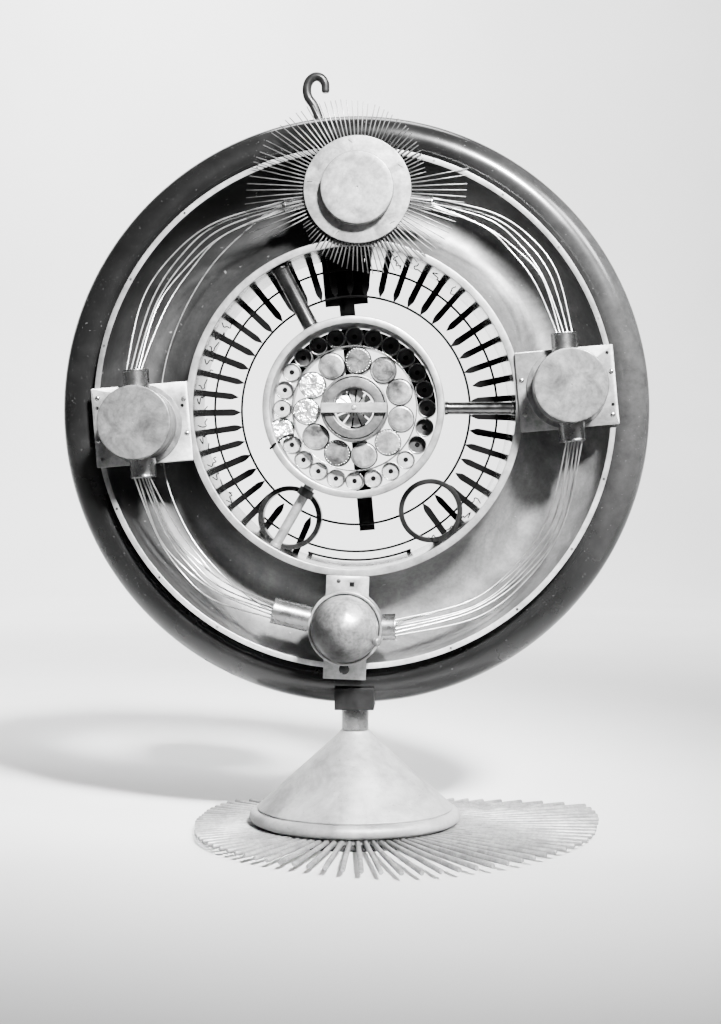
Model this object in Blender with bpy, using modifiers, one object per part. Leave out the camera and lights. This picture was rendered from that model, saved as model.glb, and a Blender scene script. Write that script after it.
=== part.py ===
"""Acoustic demonstration wheel: a round-tube ring on a stem and a weighted cone, with a ring-shaped trough,
four stations joined by thin wires, an open annulus of pointed reeds and a hub with a small bladed fan.

Metres, +Z up. The origin is on the stem's axis in the plane that the foot stands on, and -Y is the front.
Parts of the wheel are children of an empty at the wheel's centre, whose local axes are X right, Y up and
Z towards the front, so an angle of 90 degrees is the top of the wheel.
"""

import math

import bmesh
import bpy
from mathutils import Matrix, Vector

GAP = 0.0003  # clearance between touching pieces
ROUND = 48  # facets of the large concentric rings
SMALL_ROUND = 24  # facets of drums, caps and discs

# Foot
PLATE_RADIUS = 0.104
PLATE_HEIGHT = 0.005
ROD_COUNT = 84
ROD_WIDTH = 0.0046
ROD_Z = 0.0080
ROD_HUB_RADIUS = 0.100
ROD_LENGTHS = ((-170, 0.163), (-130, 0.182), (-104, 0.205), (-75, 0.243), (-35, 0.238), (0, 0.247), (25, 0.272),
               (45, 0.200), (70, 0.150), (115, 0.150), (137, 0.190), (165, 0.168), (190, 0.163))
CONE_BOTTOM = 0.011
CONE_RIM_RADIUS = 0.108
CONE_TOP = 0.105
CONE_TOP_RADIUS = 0.0145
STEM_RADIUS = 0.01375
STEM_TOP = 0.1275
SPINDLE_RADIUS = 0.006
SPINDLE_TOP = 0.1310
TENON_BOTTOM = 0.070

# Ring and saddle
WHEEL_Z = 0.433
RING_RADIUS = 0.278
RING_TUBE = 0.022
RING_SIDES = 10
SADDLE_SIZE = (0.040, 0.054)
SADDLE_TOP = 0.1500
HOOK_WIRE = 0.0045

# Trough and inner ring, as radii and heights towards the front from the wheel's centre plane
FRONT = 0.034
TROUGH_MID = 0.211
TROUGH_HALF_WIDTH = 0.0445
TROUGH_DEPTH = 0.056
TROUGH_WALL = 0.003
RIM_OUTER = 0.263
INNER_WALL = 0.1626
INNER_WALL_OUTER = 0.1656
INNER_FLANGE_OUTER = 0.170
INNER_BACK = -0.037
BRACKET_ANGLES = (45, 135, 225, 315)

# Annulus
REED_PITCH = 7.35
REED_PHASE = 4.45
REED_COUNT = 49
REED_GAP_FROM = 251
REED_GAP_TO = 299
REED_WIDTH = 0.0070
REED_TIP = 0.119
REED_SHOULDER = 0.127
REED_Z = -0.017
REED_THICKNESS = 0.002
WIRE_HOOP_RADII = {"wire_hoop_outer": 0.1455, "wire_hoop_inner": 0.1176}
WIRE_HOOP_WIRE = 0.0012
BOTTOM_STRIP_RADII = (0.1536, 0.1558)
BOTTOM_STRIP_FROM = 251.5
BOTTOM_STRIP_TO = 291.5
SPOKE_Z = 0.020
SPOKES = {"spoke_right": (0, 0.0062), "spoke_upper": (118, 0.0080), "spoke_lower": (240, 0.0050)}
TUBE_HOOP_RADIUS = 0.0325
TUBE_HOOP_WALL = 0.0040
TUBE_HOOP_DISTANCE = 0.1292
TUBE_HOOPS = {"tube_hoop_left": 239.0, "tube_hoop_right": 306.7}
TUBE_HOOP_HALF_DEPTH = 0.011

# Hub
HUB_OUTER = 0.091
HUB_INNER = 0.0837
HUB_FRONT = 0.050
HUB_BACK = -0.006
BANK_BACK = -0.004
TUBE_COUNT = 24
TUBE_PITCH_RADIUS = 0.0735
TUBE_RADIUS = 0.00965
TUBE_FRONT = 0.020
DISC_COUNT = 11
DISC_PITCH_RADIUS = 0.0485
DISC_RADIUS = 0.0137
DISC_PHASE = 85.4
DISC_FRONT = 0.024
SLEEVE = (0.0625, 0.0635)
SLEEVE_FRONT = 0.0245
BOSS_OUTER = 0.034
BOSS_INNER = 0.0208
BOSS_FRONT = 0.033
BAR_HEIGHT = 0.010
BAR_FRONT = 0.038
AXLE_RADIUS = 0.0022
FAN_BLADES = 12
FAN_RADIUS = 0.0195
FAN_Z = (0.020, 0.023)
REAR_BAR_Z = (-0.0425, -0.0375)
REAR_BAR_TILT = -5.2
REAR_POST_FRONT = 0.016

# Stations
PLATE_BACK = FRONT + GAP
PLATE_FRONT = PLATE_BACK + 0.004
STATION_RADIUS = 0.214
SIDE_ANGLES = {"left": 184.5, "right": 5.0}
SIDE_PLATE_HALF_HEIGHT = 0.040
DRUM_RADIUS = 0.035
DRUM_WALL = 0.0025
DRUM_FRONT = 0.086
CAP_RADIUS = 0.0365
CAP_BACK = 0.070
CAP_FRONT = 0.0905
NOZZLE_WALL = 0.0016
SIDE_NOZZLE = (0.013, 0.054)
TOP_ANGLE = 89.0
TOP_RADIUS = 0.2185
PIN_COUNT = 100
PIN_WIDTH = 0.0020
PIN_HUB = 0.046
PIN_Z = 0.0360
PIN_THICKNESS = 0.0018
FLANGE_RADIUS = 0.054
FLANGE_BACK = 0.0372
FLANGE_FRONT = 0.0410
TOP_CAP_RADIUS = 0.0365
TOP_CAP_FRONT = 0.0525
CHAMBER_RADIUS = 0.029
CHAMBER_BACK = 0.006
TOP_NOZZLE = (0.0075, 0.076)
TOP_NOZZLE_Z = 0.0255
BOTTOM_ANGLE = 268.0
BOTTOM_RADIUS = 0.220
GLOBE_RADIUS = 0.0338
GLOBE_Z = 0.073
CUP_RADIUS = 0.0368
CUP_FRONT = 0.066
GLOBE_KEY = (0.846, -0.284, 0.450)
WIRE_RADIUS = 0.0009
WIRE_STRETCHES = 6  # straight stretches of a wire between two nozzles
LONG_WIRE = ((118, 0.2140, 0.020), (134, 0.2070, 0.014), (151, 0.2010, 0.012), (168, 0.1990, 0.012),
             (185, 0.1995, 0.012), (202, 0.2060, 0.012), (218, 0.2120, 0.013), (231, 0.2160, 0.014))


def clear_scene():
    for old in list(bpy.data.objects):
        bpy.data.objects.remove(old)


def collection(name):
    made = bpy.data.collections.new(name)
    bpy.context.scene.collection.children.link(made)
    return made


def material(name, grey, roughness, metallic):
    made = bpy.data.materials.new(name)
    made.use_nodes = True
    shader = made.node_tree.nodes["Principled BSDF"]
    shader.inputs["Base Color"].default_value = (grey, grey, grey, 1)
    shader.inputs["Roughness"].default_value = roughness
    shader.inputs["Metallic"].default_value = metallic
    return made


def polar(radius, degrees, height=0.0):
    """The point at a radius and an angle, in degrees, about the local Z axis."""
    turn = math.radians(degrees)
    return Vector((radius * math.cos(turn), radius * math.sin(turn), height))


def place(name, data, finish, parent=None, location=(0, 0, 0), rotation=(0, 0, 0), helper=False):
    made = bpy.data.objects.new(name, data)
    (CUTTERS if helper else PARTS).objects.link(made)
    made.location = location
    made.rotation_euler = [math.radians(turn) for turn in rotation]
    made.parent = parent
    if finish:
        made.data.materials.append(finish)
    if helper:
        made.hide_render = True
        made.display_type = "WIRE"
    return made


def empty(name, parent=None, location=(0, 0, 0), rotation=(0, 0, 0)):
    made = place(name, None, None, parent, location, rotation)
    made.empty_display_size = 0.03
    return made


def turned(name, profile, finish, parent=None, steps=ROUND, location=(0, 0, 0), rotation=(0, 0, 0), helper=False):
    """A solid turned about local Z from a closed outline of (radius, height) points."""
    area = sum(a[0] * b[1] - b[0] * a[1] for a, b in zip(profile, profile[1:] + profile[:1]))
    points = profile if area < 0 else profile[::-1]
    mesh = bpy.data.meshes.new(name)
    edges = [(i, (i + 1) % len(points)) for i in range(len(points))]
    if any(r < 1e-7 for r, _ in points):
        # An outline that touches the axis stays open along it.
        on_axis = [i for i, (r, _) in enumerate(points) if r < 1e-7]
        edges = [edge for edge in edges if not (edge[0] in on_axis and edge[1] in on_axis)]
    mesh.from_pydata([(r, 0, h) for r, h in points], edges, [])
    made = place(name, mesh, finish, parent, location, rotation, helper)
    screw = made.modifiers.new("turn", "SCREW")
    screw.steps = steps
    screw.render_steps = steps
    screw.use_merge_vertices = True
    screw.merge_threshold = 0.00001
    return made


def cylinder(name, radius, low, high, finish, parent=None, sides=SMALL_ROUND, location=(0, 0, 0),
             rotation=(0, 0, 0), helper=False):
    """A solid cylinder about local Z between two heights."""
    mesh = bpy.data.meshes.new(name)
    shape = bmesh.new()
    matrix = Matrix.Translation((0, 0, (low + high) / 2))
    bmesh.ops.create_cone(shape, cap_ends=True, segments=sides, radius1=radius, radius2=radius,
                          depth=high - low, matrix=matrix)
    shape.to_mesh(mesh)
    shape.free()
    return place(name, mesh, finish, parent, location, rotation, helper)


def block(name, size, finish, parent=None, location=(0, 0, 0), rotation=(0, 0, 0), helper=False):
    mesh = bpy.data.meshes.new(name)
    shape = bmesh.new()
    bmesh.ops.create_cube(shape, size=1, matrix=Matrix.Diagonal((*size, 1)))
    shape.to_mesh(mesh)
    shape.free()
    return place(name, mesh, finish, parent, location, rotation, helper)


def flat(name, outlines, low, high, finish, parent=None, location=(0, 0, 0), rotation=(0, 0, 0)):
    """A flat plate between two heights: the first outline is its edge and the others are holes."""
    curve = bpy.data.curves.new(name, "CURVE")
    curve.dimensions = "2D"
    curve.fill_mode = "BOTH"
    curve.extrude = (high - low) / 2
    for outline in outlines:
        spline = curve.splines.new("POLY")
        spline.points.add(len(outline) - 1)
        for point, spot in zip(spline.points, outline):
            point.co = (spot[0], spot[1], 0, 1)
        spline.use_cyclic_u = True
    lift = Matrix.Rotation(math.radians(rotation[2]), 3, "Z") @ Vector((0, 0, (low + high) / 2))
    return place(name, curve, finish, parent, Vector(location) + lift, rotation)


def wires(name, routes, radius, finish, parent=None, resolution=2):
    """Round wires, one along each route of points."""
    curve = bpy.data.curves.new(name, "CURVE")
    curve.dimensions = "3D"
    curve.bevel_depth = radius
    curve.bevel_resolution = resolution
    curve.use_fill_caps = True
    for route in routes:
        spline = curve.splines.new("POLY")
        spline.points.add(len(route) - 1)
        for point, spot in zip(spline.points, route):
            point.co = (*spot, 1)
    return place(name, curve, finish, parent)


def as_mesh(source, helper=False):
    """The same shape as a welded mesh, which takes and makes Boolean cuts."""
    bpy.context.view_layer.update()
    graph = bpy.context.evaluated_depsgraph_get()
    mesh = bpy.data.meshes.new_from_object(source.evaluated_get(graph))
    shape = bmesh.new()
    shape.from_mesh(mesh)
    bmesh.ops.remove_doubles(shape, verts=shape.verts, dist=0.00001)
    shape.to_mesh(mesh)
    shape.free()
    name, matrix, parent = source.name, source.matrix_world.copy(), source.parent
    bpy.data.objects.remove(source)
    made = place(name, mesh, None, None, helper=helper)
    made.name = name
    made.parent = parent
    made.matrix_world = matrix
    return made


def boolean(target, other, operation):
    step = target.modifiers.new(operation.lower(), "BOOLEAN")
    step.operation = operation
    step.object = other
    return target


def circle(radius, count=ROUND, centre=(0, 0), phase=0.0):
    spots = (polar(radius, phase + 360 * i / count) for i in range(count))
    return [(centre[0] + spot.x, centre[1] + spot.y) for spot in spots]


def ellipse_side(half_width, depth, first, last, count):
    """Points of the trough's section, from the outer side round the bottom to the inner side."""
    turns = [math.radians(first + (last - first) * i / count) for i in range(count + 1)]
    return [(TROUGH_MID + half_width * math.cos(t), FRONT - depth * math.sin(t)) for t in turns]


def ramp(table, degrees):
    """The value at an angle, straight between the table's own angles."""
    for (a, low), (b, high) in zip(table, table[1:]):
        if a <= degrees <= b:
            return low + (high - low) * (degrees - a) / (b - a)
    return table[-1][1]


# Foot -----------------------------------------------------------------------------------------------------


def base_plate():
    cylinder("base_plate", PLATE_RADIUS, 0, PLATE_HEIGHT, DARK, sides=ROUND)


def rod_fan():
    """Round rods of uneven length that radiate from a hub ring under the cone's rim."""
    outline = []
    for i in range(ROD_COUNT):
        angle = -170 + 360 * (i + 0.5) / ROD_COUNT
        tip = ramp(ROD_LENGTHS, angle)
        side = Vector((-math.sin(math.radians(angle)), math.cos(math.radians(angle)), 0)) * ROD_WIDTH / 2
        for radius, sign in ((ROD_HUB_RADIUS, -1), (tip, -1), (tip, 1), (ROD_HUB_RADIUS, 1)):
            spot = polar(radius, angle) + side * sign
            outline.append((spot.x, spot.y))
    low = ROD_Z - ROD_WIDTH / 2
    flat("rod_fan", [outline], low, low + ROD_WIDTH, STEEL)


def base_cone():
    """Weighted cone with a bead round its rim, a groove above the bead and a socket for the stem's tenon."""
    bead = [(CONE_RIM_RADIUS - 0.0065 + 0.0065 * math.cos(math.radians(t)),
             0.0180 + 0.0065 * math.sin(math.radians(t))) for t in (70, 20, -30, -80)]
    slope = [(CONE_TOP_RADIUS, CONE_TOP), (0.0185, 0.0995), (0.1005, 0.0265)]
    socket = [(SPINDLE_RADIUS + 0.003 + GAP, TENON_BOTTOM - GAP), (SPINDLE_RADIUS + 0.003 + GAP, CONE_TOP)]
    underside = [(0.0990, CONE_BOTTOM), (0, CONE_BOTTOM), (0, TENON_BOTTOM - GAP)]
    profile = slope + [(0.0990, 0.0250)] + bead + underside + socket
    turned("base_cone", profile, STEEL, steps=32)


def stem():
    tenon = SPINDLE_RADIUS + 0.003
    turned("stem", [
        (0, SPINDLE_TOP), (SPINDLE_RADIUS, SPINDLE_TOP), (SPINDLE_RADIUS, STEM_TOP),
        (STEM_RADIUS, STEM_TOP), (STEM_RADIUS, CONE_TOP + GAP), (tenon, CONE_TOP + GAP),
        (tenon, TENON_BOTTOM), (0, TENON_BOTTOM),
    ], DARK, steps=SMALL_ROUND)


# Ring -----------------------------------------------------------------------------------------------------


def torus(name, radius, tube, finish, parent, sides, height=0.0, helper=False, around=ROUND):
    """A ring of round section about local Z."""
    points = [(radius + tube * math.cos(2 * math.pi * i / sides), tube * math.sin(2 * math.pi * i / sides))
              for i in range(sides)]
    return turned(name, points, finish, parent, steps=around, location=(0, 0, height), helper=helper)


def ring_and_saddle():
    torus("ring_tube", RING_RADIUS, RING_TUBE, LACQUER, WHEEL, RING_SIDES)
    room = torus("ring_room", RING_RADIUS, RING_TUBE + GAP, None, WHEEL, RING_SIDES, helper=True)
    low = STEM_TOP + GAP
    saddle = block("saddle", (*SADDLE_SIZE, SADDLE_TOP - low), DARK, location=(0, 0, (low + SADDLE_TOP) / 2))
    socket = cylinder("saddle_socket", SPINDLE_RADIUS + GAP, low - 0.01, SPINDLE_TOP + GAP, None, helper=True)
    boolean(saddle, room, "DIFFERENCE")
    boolean(saddle, socket, "DIFFERENCE")
    for angle in BRACKET_ANGLES:
        bracket = block(f"bracket_{angle}", (0.026, 0.020, 0.012), DARK, WHEEL,
                        polar(0.249, angle, -0.008), (0, 0, angle))
        boolean(bracket, room, "DIFFERENCE")
        boolean(bracket, TROUGH_ROOM, "DIFFERENCE")
    hook_route = [(-0.0385, 0.262, -0.0225), (-0.0385, 0.292, -0.027), (-0.0390, 0.304, -0.030),
                  (-0.0440, 0.318, -0.030), (-0.0500, 0.327, -0.030), (-0.0515, 0.336, -0.030),
                  (-0.0490, 0.344, -0.030), (-0.0430, 0.3485, -0.030), (-0.0365, 0.347, -0.030),
                  (-0.0325, 0.341, -0.030), (-0.0320, 0.333, -0.030)]
    hook = as_mesh(wires("hook", [hook_route], HOOK_WIRE, STEEL, WHEEL, resolution=3))
    hook.data.materials.append(STEEL)
    boolean(hook, room, "DIFFERENCE")


def trough():
    inside = ellipse_side(TROUGH_HALF_WIDTH, TROUGH_DEPTH, 0, 176, 8)
    outside = ellipse_side(TROUGH_HALF_WIDTH + TROUGH_WALL, TROUGH_DEPTH + TROUGH_WALL, 4, 161.5, 7)
    rim = [(RIM_OUTER, FRONT), (RIM_OUTER, FRONT - 0.004)]
    turned("trough", [*reversed(inside), *rim, *outside], BRASS, WHEEL)


def trough_room():
    """The room that the trough takes up, with its clearance."""
    wall = TROUGH_WALL + 2 * GAP
    edge = ellipse_side(TROUGH_HALF_WIDTH + wall, TROUGH_DEPTH + wall, 4, 161.5, 7)
    return turned("trough_room", [*edge, (0.150, edge[-1][1]), (0.150, FRONT), (edge[0][0], FRONT)], None, WHEEL,
                  helper=True)


def inner_ring():
    turned("inner_ring", [
        (INNER_WALL, FRONT), (INNER_FLANGE_OUTER, FRONT), (INNER_FLANGE_OUTER, FRONT - 0.0026),
        (INNER_WALL_OUTER, FRONT - 0.0026), (INNER_WALL_OUTER, INNER_BACK), (INNER_WALL, INNER_BACK),
    ], BRASS, WHEEL)


# Annulus --------------------------------------------------------------------------------------------------


def reed_comb():
    """Pointed reeds on a thin carrier ring, with a stretch left out at the bottom."""
    ring = INNER_WALL - GAP - 0.0020
    outline = []
    for i in range(REED_COUNT):
        angle = REED_PHASE + REED_PITCH * i
        if REED_GAP_FROM < angle < REED_GAP_TO:
            outline += [tuple(polar(ring, angle)[:2])]
            continue
        side = Vector((-math.sin(math.radians(angle)), math.cos(math.radians(angle)), 0))
        for radius, half in ((ring, -REED_WIDTH / 2), (REED_SHOULDER, -REED_WIDTH / 2), (REED_TIP, 0),
                             (REED_SHOULDER, REED_WIDTH / 2), (ring, REED_WIDTH / 2)):
            spot = polar(radius, angle) + side * half
            outline.append((spot.x, spot.y))
    half = REED_THICKNESS / 2
    flat("reed_comb", [circle(INNER_WALL - GAP), outline], REED_Z - half, REED_Z + half, DARK, WHEEL)


def wire_hoops():
    height = REED_Z + REED_THICKNESS / 2 + GAP + WIRE_HOOP_WIRE
    for name, radius in WIRE_HOOP_RADII.items():
        torus(name, radius, WIRE_HOOP_WIRE, STEEL, WHEEL, 5, height)


def bottom_strip():
    """Dark strip along the gap in the reeds, with a lug at each end that reaches the reeds' carrier ring."""
    inner, outer = BOTTOM_STRIP_RADII
    lug = INNER_WALL - 0.0020 - 4 * GAP
    turn = (BOTTOM_STRIP_TO - BOTTOM_STRIP_FROM) / 20
    angles = [BOTTOM_STRIP_FROM + turn * i for i in range(21)]
    edge = [(inner, angle) for angle in angles]
    edge += [(lug, angles[-1]), (lug, angles[-2])]
    edge += [(outer, angle) for angle in reversed(angles[1:-1])]
    edge += [(lug, angles[1]), (lug, angles[0])]
    half = REED_THICKNESS / 2
    flat("bottom_strip", [[tuple(polar(*spot)[:2]) for spot in edge]], REED_Z - half, REED_Z + half, DARK, WHEEL)


def spokes():
    for name, (angle, radius) in SPOKES.items():
        length = (HUB_OUTER + GAP, INNER_WALL * math.cos(math.pi / ROUND) - GAP - radius * radius / INNER_WALL)
        frame = empty(f"{name}_axis", WHEEL, (0, 0, SPOKE_Z), (90, 0, angle + 90))
        cylinder(name, radius, *length, BRASS, frame, sides=12)


def tube_hoops():
    """Short lengths of wide tube that stand in the annulus, each on a small foot against the inner ring."""
    outer, inner, half = TUBE_HOOP_RADIUS, TUBE_HOOP_RADIUS - TUBE_HOOP_WALL, TUBE_HOOP_HALF_DEPTH
    for name, angle in TUBE_HOOPS.items():
        spot = polar(TUBE_HOOP_DISTANCE, angle)
        hoop = turned(name, [(inner, half), (outer, half), (outer, -half), (inner, -half)], BRASS, WHEEL,
                      steps=32, location=spot, rotation=(0, 0, angle))
        foot = block(f"{name}_foot", (0.0023, 0.012, 0.010), None, WHEEL, polar(0.16075, angle),
                     (0, 0, angle), helper=True)
        boolean(hoop, foot, "UNION")


def rear_frame():
    """Vertical bar behind the wheel, wide at the top where it meets the inner ring, and the hub's post."""
    outline = [(-0.0225, 0.164), (0.0225, 0.164), (0.0225, 0.112), (0.0080, 0.112), (0.0080, -0.125),
               (-0.0080, -0.125), (-0.0080, 0.112), (-0.0225, 0.112)]
    flat("rear_bar", [outline], *REAR_BAR_Z, DARK, WHEEL, rotation=(0, 0, -REAR_BAR_TILT))
    bore = AXLE_RADIUS + 0.0005
    back, front = REAR_BAR_Z[1] + GAP, REAR_POST_FRONT
    turned("rear_post", [(bore, front), (0.0075, front), (0.0075, back), (bore, back)], DARK, WHEEL, steps=16)


# Hub ------------------------------------------------------------------------------------------------------


def hub_shell():
    turned("hub_shell", [
        (HUB_INNER, HUB_FRONT), (HUB_OUTER, HUB_FRONT), (HUB_OUTER, HUB_BACK), (HUB_INNER, HUB_BACK),
    ], BRASS, WHEEL)


def packed_ring(name, count, pitch, radius, phase, facets, front, finish):
    """Round bars packed in a circle, each soldered to its neighbours, with open gaps inside and outside."""
    half = math.pi / count
    bridge = math.sqrt(radius ** 2 - (pitch * math.sin(half)) ** 2)
    outlines = []
    for side in (1, -1):
        reach = pitch * math.cos(half) + side * bridge
        limit = math.atan2(reach * math.sin(half), reach * math.cos(half) - pitch)
        first, last = (-limit, limit) if side > 0 else (2 * math.pi - limit, limit)
        outline = []
        for i in range(count):
            centre = polar(pitch, phase + 360 * i / count)
            for k in range(facets):
                turn = math.degrees(first + (last - first) * k / facets) + phase + 360 * i / count
                spot = centre + polar(radius, turn)
                outline.append((spot.x, spot.y))
        outlines.append(outline)
    flat(name, outlines, BANK_BACK, front, finish, WHEEL)


def hub_fittings():
    packed_ring("tube_bank", TUBE_COUNT, TUBE_PITCH_RADIUS, TUBE_RADIUS, 90, 5, TUBE_FRONT, STEEL)
    packed_ring("disc_bank", DISC_COUNT, DISC_PITCH_RADIUS, DISC_RADIUS, DISC_PHASE, 7, DISC_FRONT, STEEL)
    turned("sleeve_band", [(SLEEVE[0], SLEEVE_FRONT), (SLEEVE[1], SLEEVE_FRONT), (SLEEVE[1], BANK_BACK),
                           (SLEEVE[0], BANK_BACK)], BRASS, WHEEL)
    turned("boss_ring", [
        (BOSS_INNER, BOSS_FRONT - 0.001), (BOSS_INNER + 0.001, BOSS_FRONT), (BOSS_OUTER - 0.003, BOSS_FRONT),
        (BOSS_OUTER, BOSS_FRONT - 0.003), (BOSS_OUTER, BANK_BACK), (BOSS_INNER, BANK_BACK),
    ], BRASS, WHEEL)
    bar = block("bearing_bar", (2 * BOSS_OUTER - 0.002, BAR_HEIGHT, BAR_FRONT - BOSS_FRONT - GAP), STEEL, WHEEL,
                (0, 0, (BAR_FRONT + BOSS_FRONT + GAP) / 2))
    hole = cylinder("bar_hole", AXLE_RADIUS + 0.0004, BOSS_FRONT - 0.005, BAR_FRONT + 0.005, None, WHEEL, 12,
                    helper=True)
    boolean(bar, hole, "DIFFERENCE")


def fan():
    """Wheel of flat wedge blades on an axle that runs from the bearing bar to the rear post."""
    axle = cylinder("fan", AXLE_RADIUS, -0.030, BAR_FRONT - 0.0005, STEEL, WHEEL, 12)
    outline = []
    for i in range(FAN_BLADES):
        angle = 360 * i / FAN_BLADES
        for radius, turn in ((0.006, -9), (FAN_RADIUS, -9), (FAN_RADIUS, 9), (0.006, 9)):
            outline.append(tuple(polar(radius, angle + turn)[:2]))
    blades = as_mesh(flat("fan_blades", [outline], *FAN_Z, None, WHEEL), helper=True)
    boolean(axle, blades, "UNION")


# Stations -------------------------------------------------------------------------------------------------


def nozzle(name, station, angle, height, radius, start, end, room, finish):
    """A short open tube that leaves a station sideways, cut to fit the wall of the room it stands on."""
    frame = empty(f"{name}_axis", station, (0, 0, height), (90, 0, angle + 90))
    tube = turned(name, [
        (radius - NOZZLE_WALL, start), (radius, start), (radius, end), (radius - NOZZLE_WALL, end),
    ], finish, frame, steps=16)
    boolean(tube, room, "DIFFERENCE")


def rounded(x_low, x_high, y_low, y_high, corner):
    """A rectangle with round corners."""
    spots = []
    for x, y, first in ((x_high - corner, y_high - corner, 0), (x_low + corner, y_high - corner, 90),
                        (x_low + corner, y_low + corner, 180), (x_high - corner, y_low + corner, 270)):
        for turn in (0, 45, 90):
            spot = polar(corner, first + turn)
            spots.append((x + spot.x, y + spot.y))
    return spots


def side_station(side, angle):
    """A plate across the trough that carries a drum with a pull-off cap and two nozzles."""
    station = empty(f"{side}_station", WHEEL, polar(STATION_RADIUS, angle), (0, 0, angle))
    flat(f"{side}_plate", [rounded(0.1650 - STATION_RADIUS, RIM_OUTER - STATION_RADIUS, -SIDE_PLATE_HALF_HEIGHT,
                                   SIDE_PLATE_HALF_HEIGHT, 0.003)], PLATE_BACK, PLATE_FRONT, BRASS, station)
    back = PLATE_FRONT + GAP
    turned(f"{side}_drum", [
        (0, back + DRUM_WALL), (DRUM_RADIUS - DRUM_WALL, back + DRUM_WALL), (DRUM_RADIUS - DRUM_WALL, DRUM_FRONT),
        (DRUM_RADIUS, DRUM_FRONT), (DRUM_RADIUS, back), (0, back),
    ], STEEL, station, steps=SMALL_ROUND)
    skirt = DRUM_RADIUS + 0.0004
    turned(f"{side}_cap", [
        (0, CAP_FRONT), (CAP_RADIUS - 0.0025, CAP_FRONT), (CAP_RADIUS, CAP_FRONT - 0.0025), (CAP_RADIUS, CAP_BACK),
        (skirt, CAP_BACK), (skirt, DRUM_FRONT + GAP), (0, DRUM_FRONT + GAP),
    ], STEEL, station, steps=SMALL_ROUND)
    room = cylinder(f"{side}_drum_room", DRUM_RADIUS + GAP, 0, CAP_BACK, None, station, helper=True)
    radius, reach = SIDE_NOZZLE
    for where, turn in (("upper", 90), ("lower", 270)):
        turn += 180 if side == "left" else 0
        nozzle(f"{side}_nozzle_{where}", station, turn, back + radius + GAP, radius, 0.030, reach, room, STEEL)
    return station


def top_station():
    """A chamber in the trough under a wheel of pins, a screwed flange and a cap that turns on its centre."""
    station = empty("top_station", WHEEL, polar(TOP_RADIUS, TOP_ANGLE))
    turned("top_chamber", [
        (0, PIN_Z - PIN_THICKNESS / 2 - GAP), (CHAMBER_RADIUS, PIN_Z - PIN_THICKNESS / 2 - GAP),
        (CHAMBER_RADIUS, CHAMBER_BACK), (0, CHAMBER_BACK),
    ], DARK, station, steps=SMALL_ROUND)
    outline = []
    for i in range(PIN_COUNT):
        angle = 14 + 360 * i / PIN_COUNT
        tip = ramp(((14, 0.072), (208, 0.120), (209, 0.065), (374, 0.115)), angle)
        half = math.degrees(PIN_WIDTH / 2 / PIN_HUB)
        outline += [tuple(polar(PIN_HUB, angle - half)[:2]), tuple(polar(tip, angle)[:2]),
                    tuple(polar(PIN_HUB, angle + half)[:2])]
    half = PIN_THICKNESS / 2
    flat("pin_wheel", [outline], PIN_Z - half, PIN_Z + half, STEEL, station)
    cylinder("top_flange", FLANGE_RADIUS, FLANGE_BACK, FLANGE_FRONT, BRASS, station, sides=36)
    turned("top_cap", [
        (0, TOP_CAP_FRONT), (TOP_CAP_RADIUS - 0.003, TOP_CAP_FRONT - 0.001),
        (TOP_CAP_RADIUS, TOP_CAP_FRONT - 0.004), (TOP_CAP_RADIUS, FLANGE_FRONT + GAP), (0, FLANGE_FRONT + GAP),
    ], STEEL, station, steps=SMALL_ROUND)
    room = cylinder("chamber_room", CHAMBER_RADIUS + GAP, -0.02, 0.1, None, station, helper=True)
    radius, reach = TOP_NOZZLE
    for side, turn in (("right", -9), ("left", 191)):
        nozzle(f"top_nozzle_{side}", station, turn, TOP_NOZZLE_Z, radius, 0.026, reach, room, STEEL)
    return station


def bottom_station():
    """A strap across the trough that carries a globe in a round cup, with a small key and two nozzles."""
    station = empty("bottom_station", WHEEL, polar(BOTTOM_RADIUS, BOTTOM_ANGLE))
    tab, middle, top, bottom, turn = 0.0215, 0.0375, 0.0510, -0.0530, BOTTOM_ANGLE - 270
    reach = math.degrees(math.acos(tab / middle))
    outline = [(-tab, top), (-tab, middle * math.sin(math.radians(reach)))]
    outline += [tuple(polar(middle, 180 - reach + 2 * reach * i / 10)[:2]) for i in range(1, 11)]
    outline += [(-tab, bottom), (tab, bottom)]
    outline += [tuple(polar(middle, -reach + 2 * reach * i / 10)[:2]) for i in range(11)]
    outline += [(tab, top)]
    flat("bottom_plate", [outline], PLATE_BACK, PLATE_FRONT, BRASS, station, rotation=(0, 0, turn))
    back = PLATE_FRONT + GAP
    inner = GLOBE_RADIUS + 0.0007
    turned("globe_cup", [(inner, CUP_FRONT), (CUP_RADIUS, CUP_FRONT), (CUP_RADIUS, back), (inner, back)],
           BRASS, station, steps=32)
    globe = bpy.data.meshes.new("globe")
    shape = bmesh.new()
    bmesh.ops.create_uvsphere(shape, u_segments=20, v_segments=10, radius=GLOBE_RADIUS)
    shape.to_mesh(globe)
    shape.free()
    place("globe", globe, STEEL, station, (0, 0, GLOBE_Z))
    key_turn = Vector(GLOBE_KEY).to_track_quat("Z", "Y").to_euler()
    frame = empty("globe_key_axis", station, (0, 0, GLOBE_Z), [math.degrees(a) for a in key_turn])
    cylinder("globe_key", 0.0050, GLOBE_RADIUS + 0.0009, GLOBE_RADIUS + 0.0080, DARK, frame, 16)
    room = cylinder("cup_room", CUP_RADIUS + GAP, 0, 0.1, None, station, 32, helper=True)
    nozzle("bottom_nozzle_left", station, 166.5, back + 0.0135 + GAP, 0.0130, 0.030, 0.0743, room, STEEL)
    nozzle("bottom_nozzle_right", station, 1.0, back + 0.0135 + GAP, 0.0130, 0.030, 0.0500, room, STEEL)
    return station


# Wires ----------------------------------------------------------------------------------------------------


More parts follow.
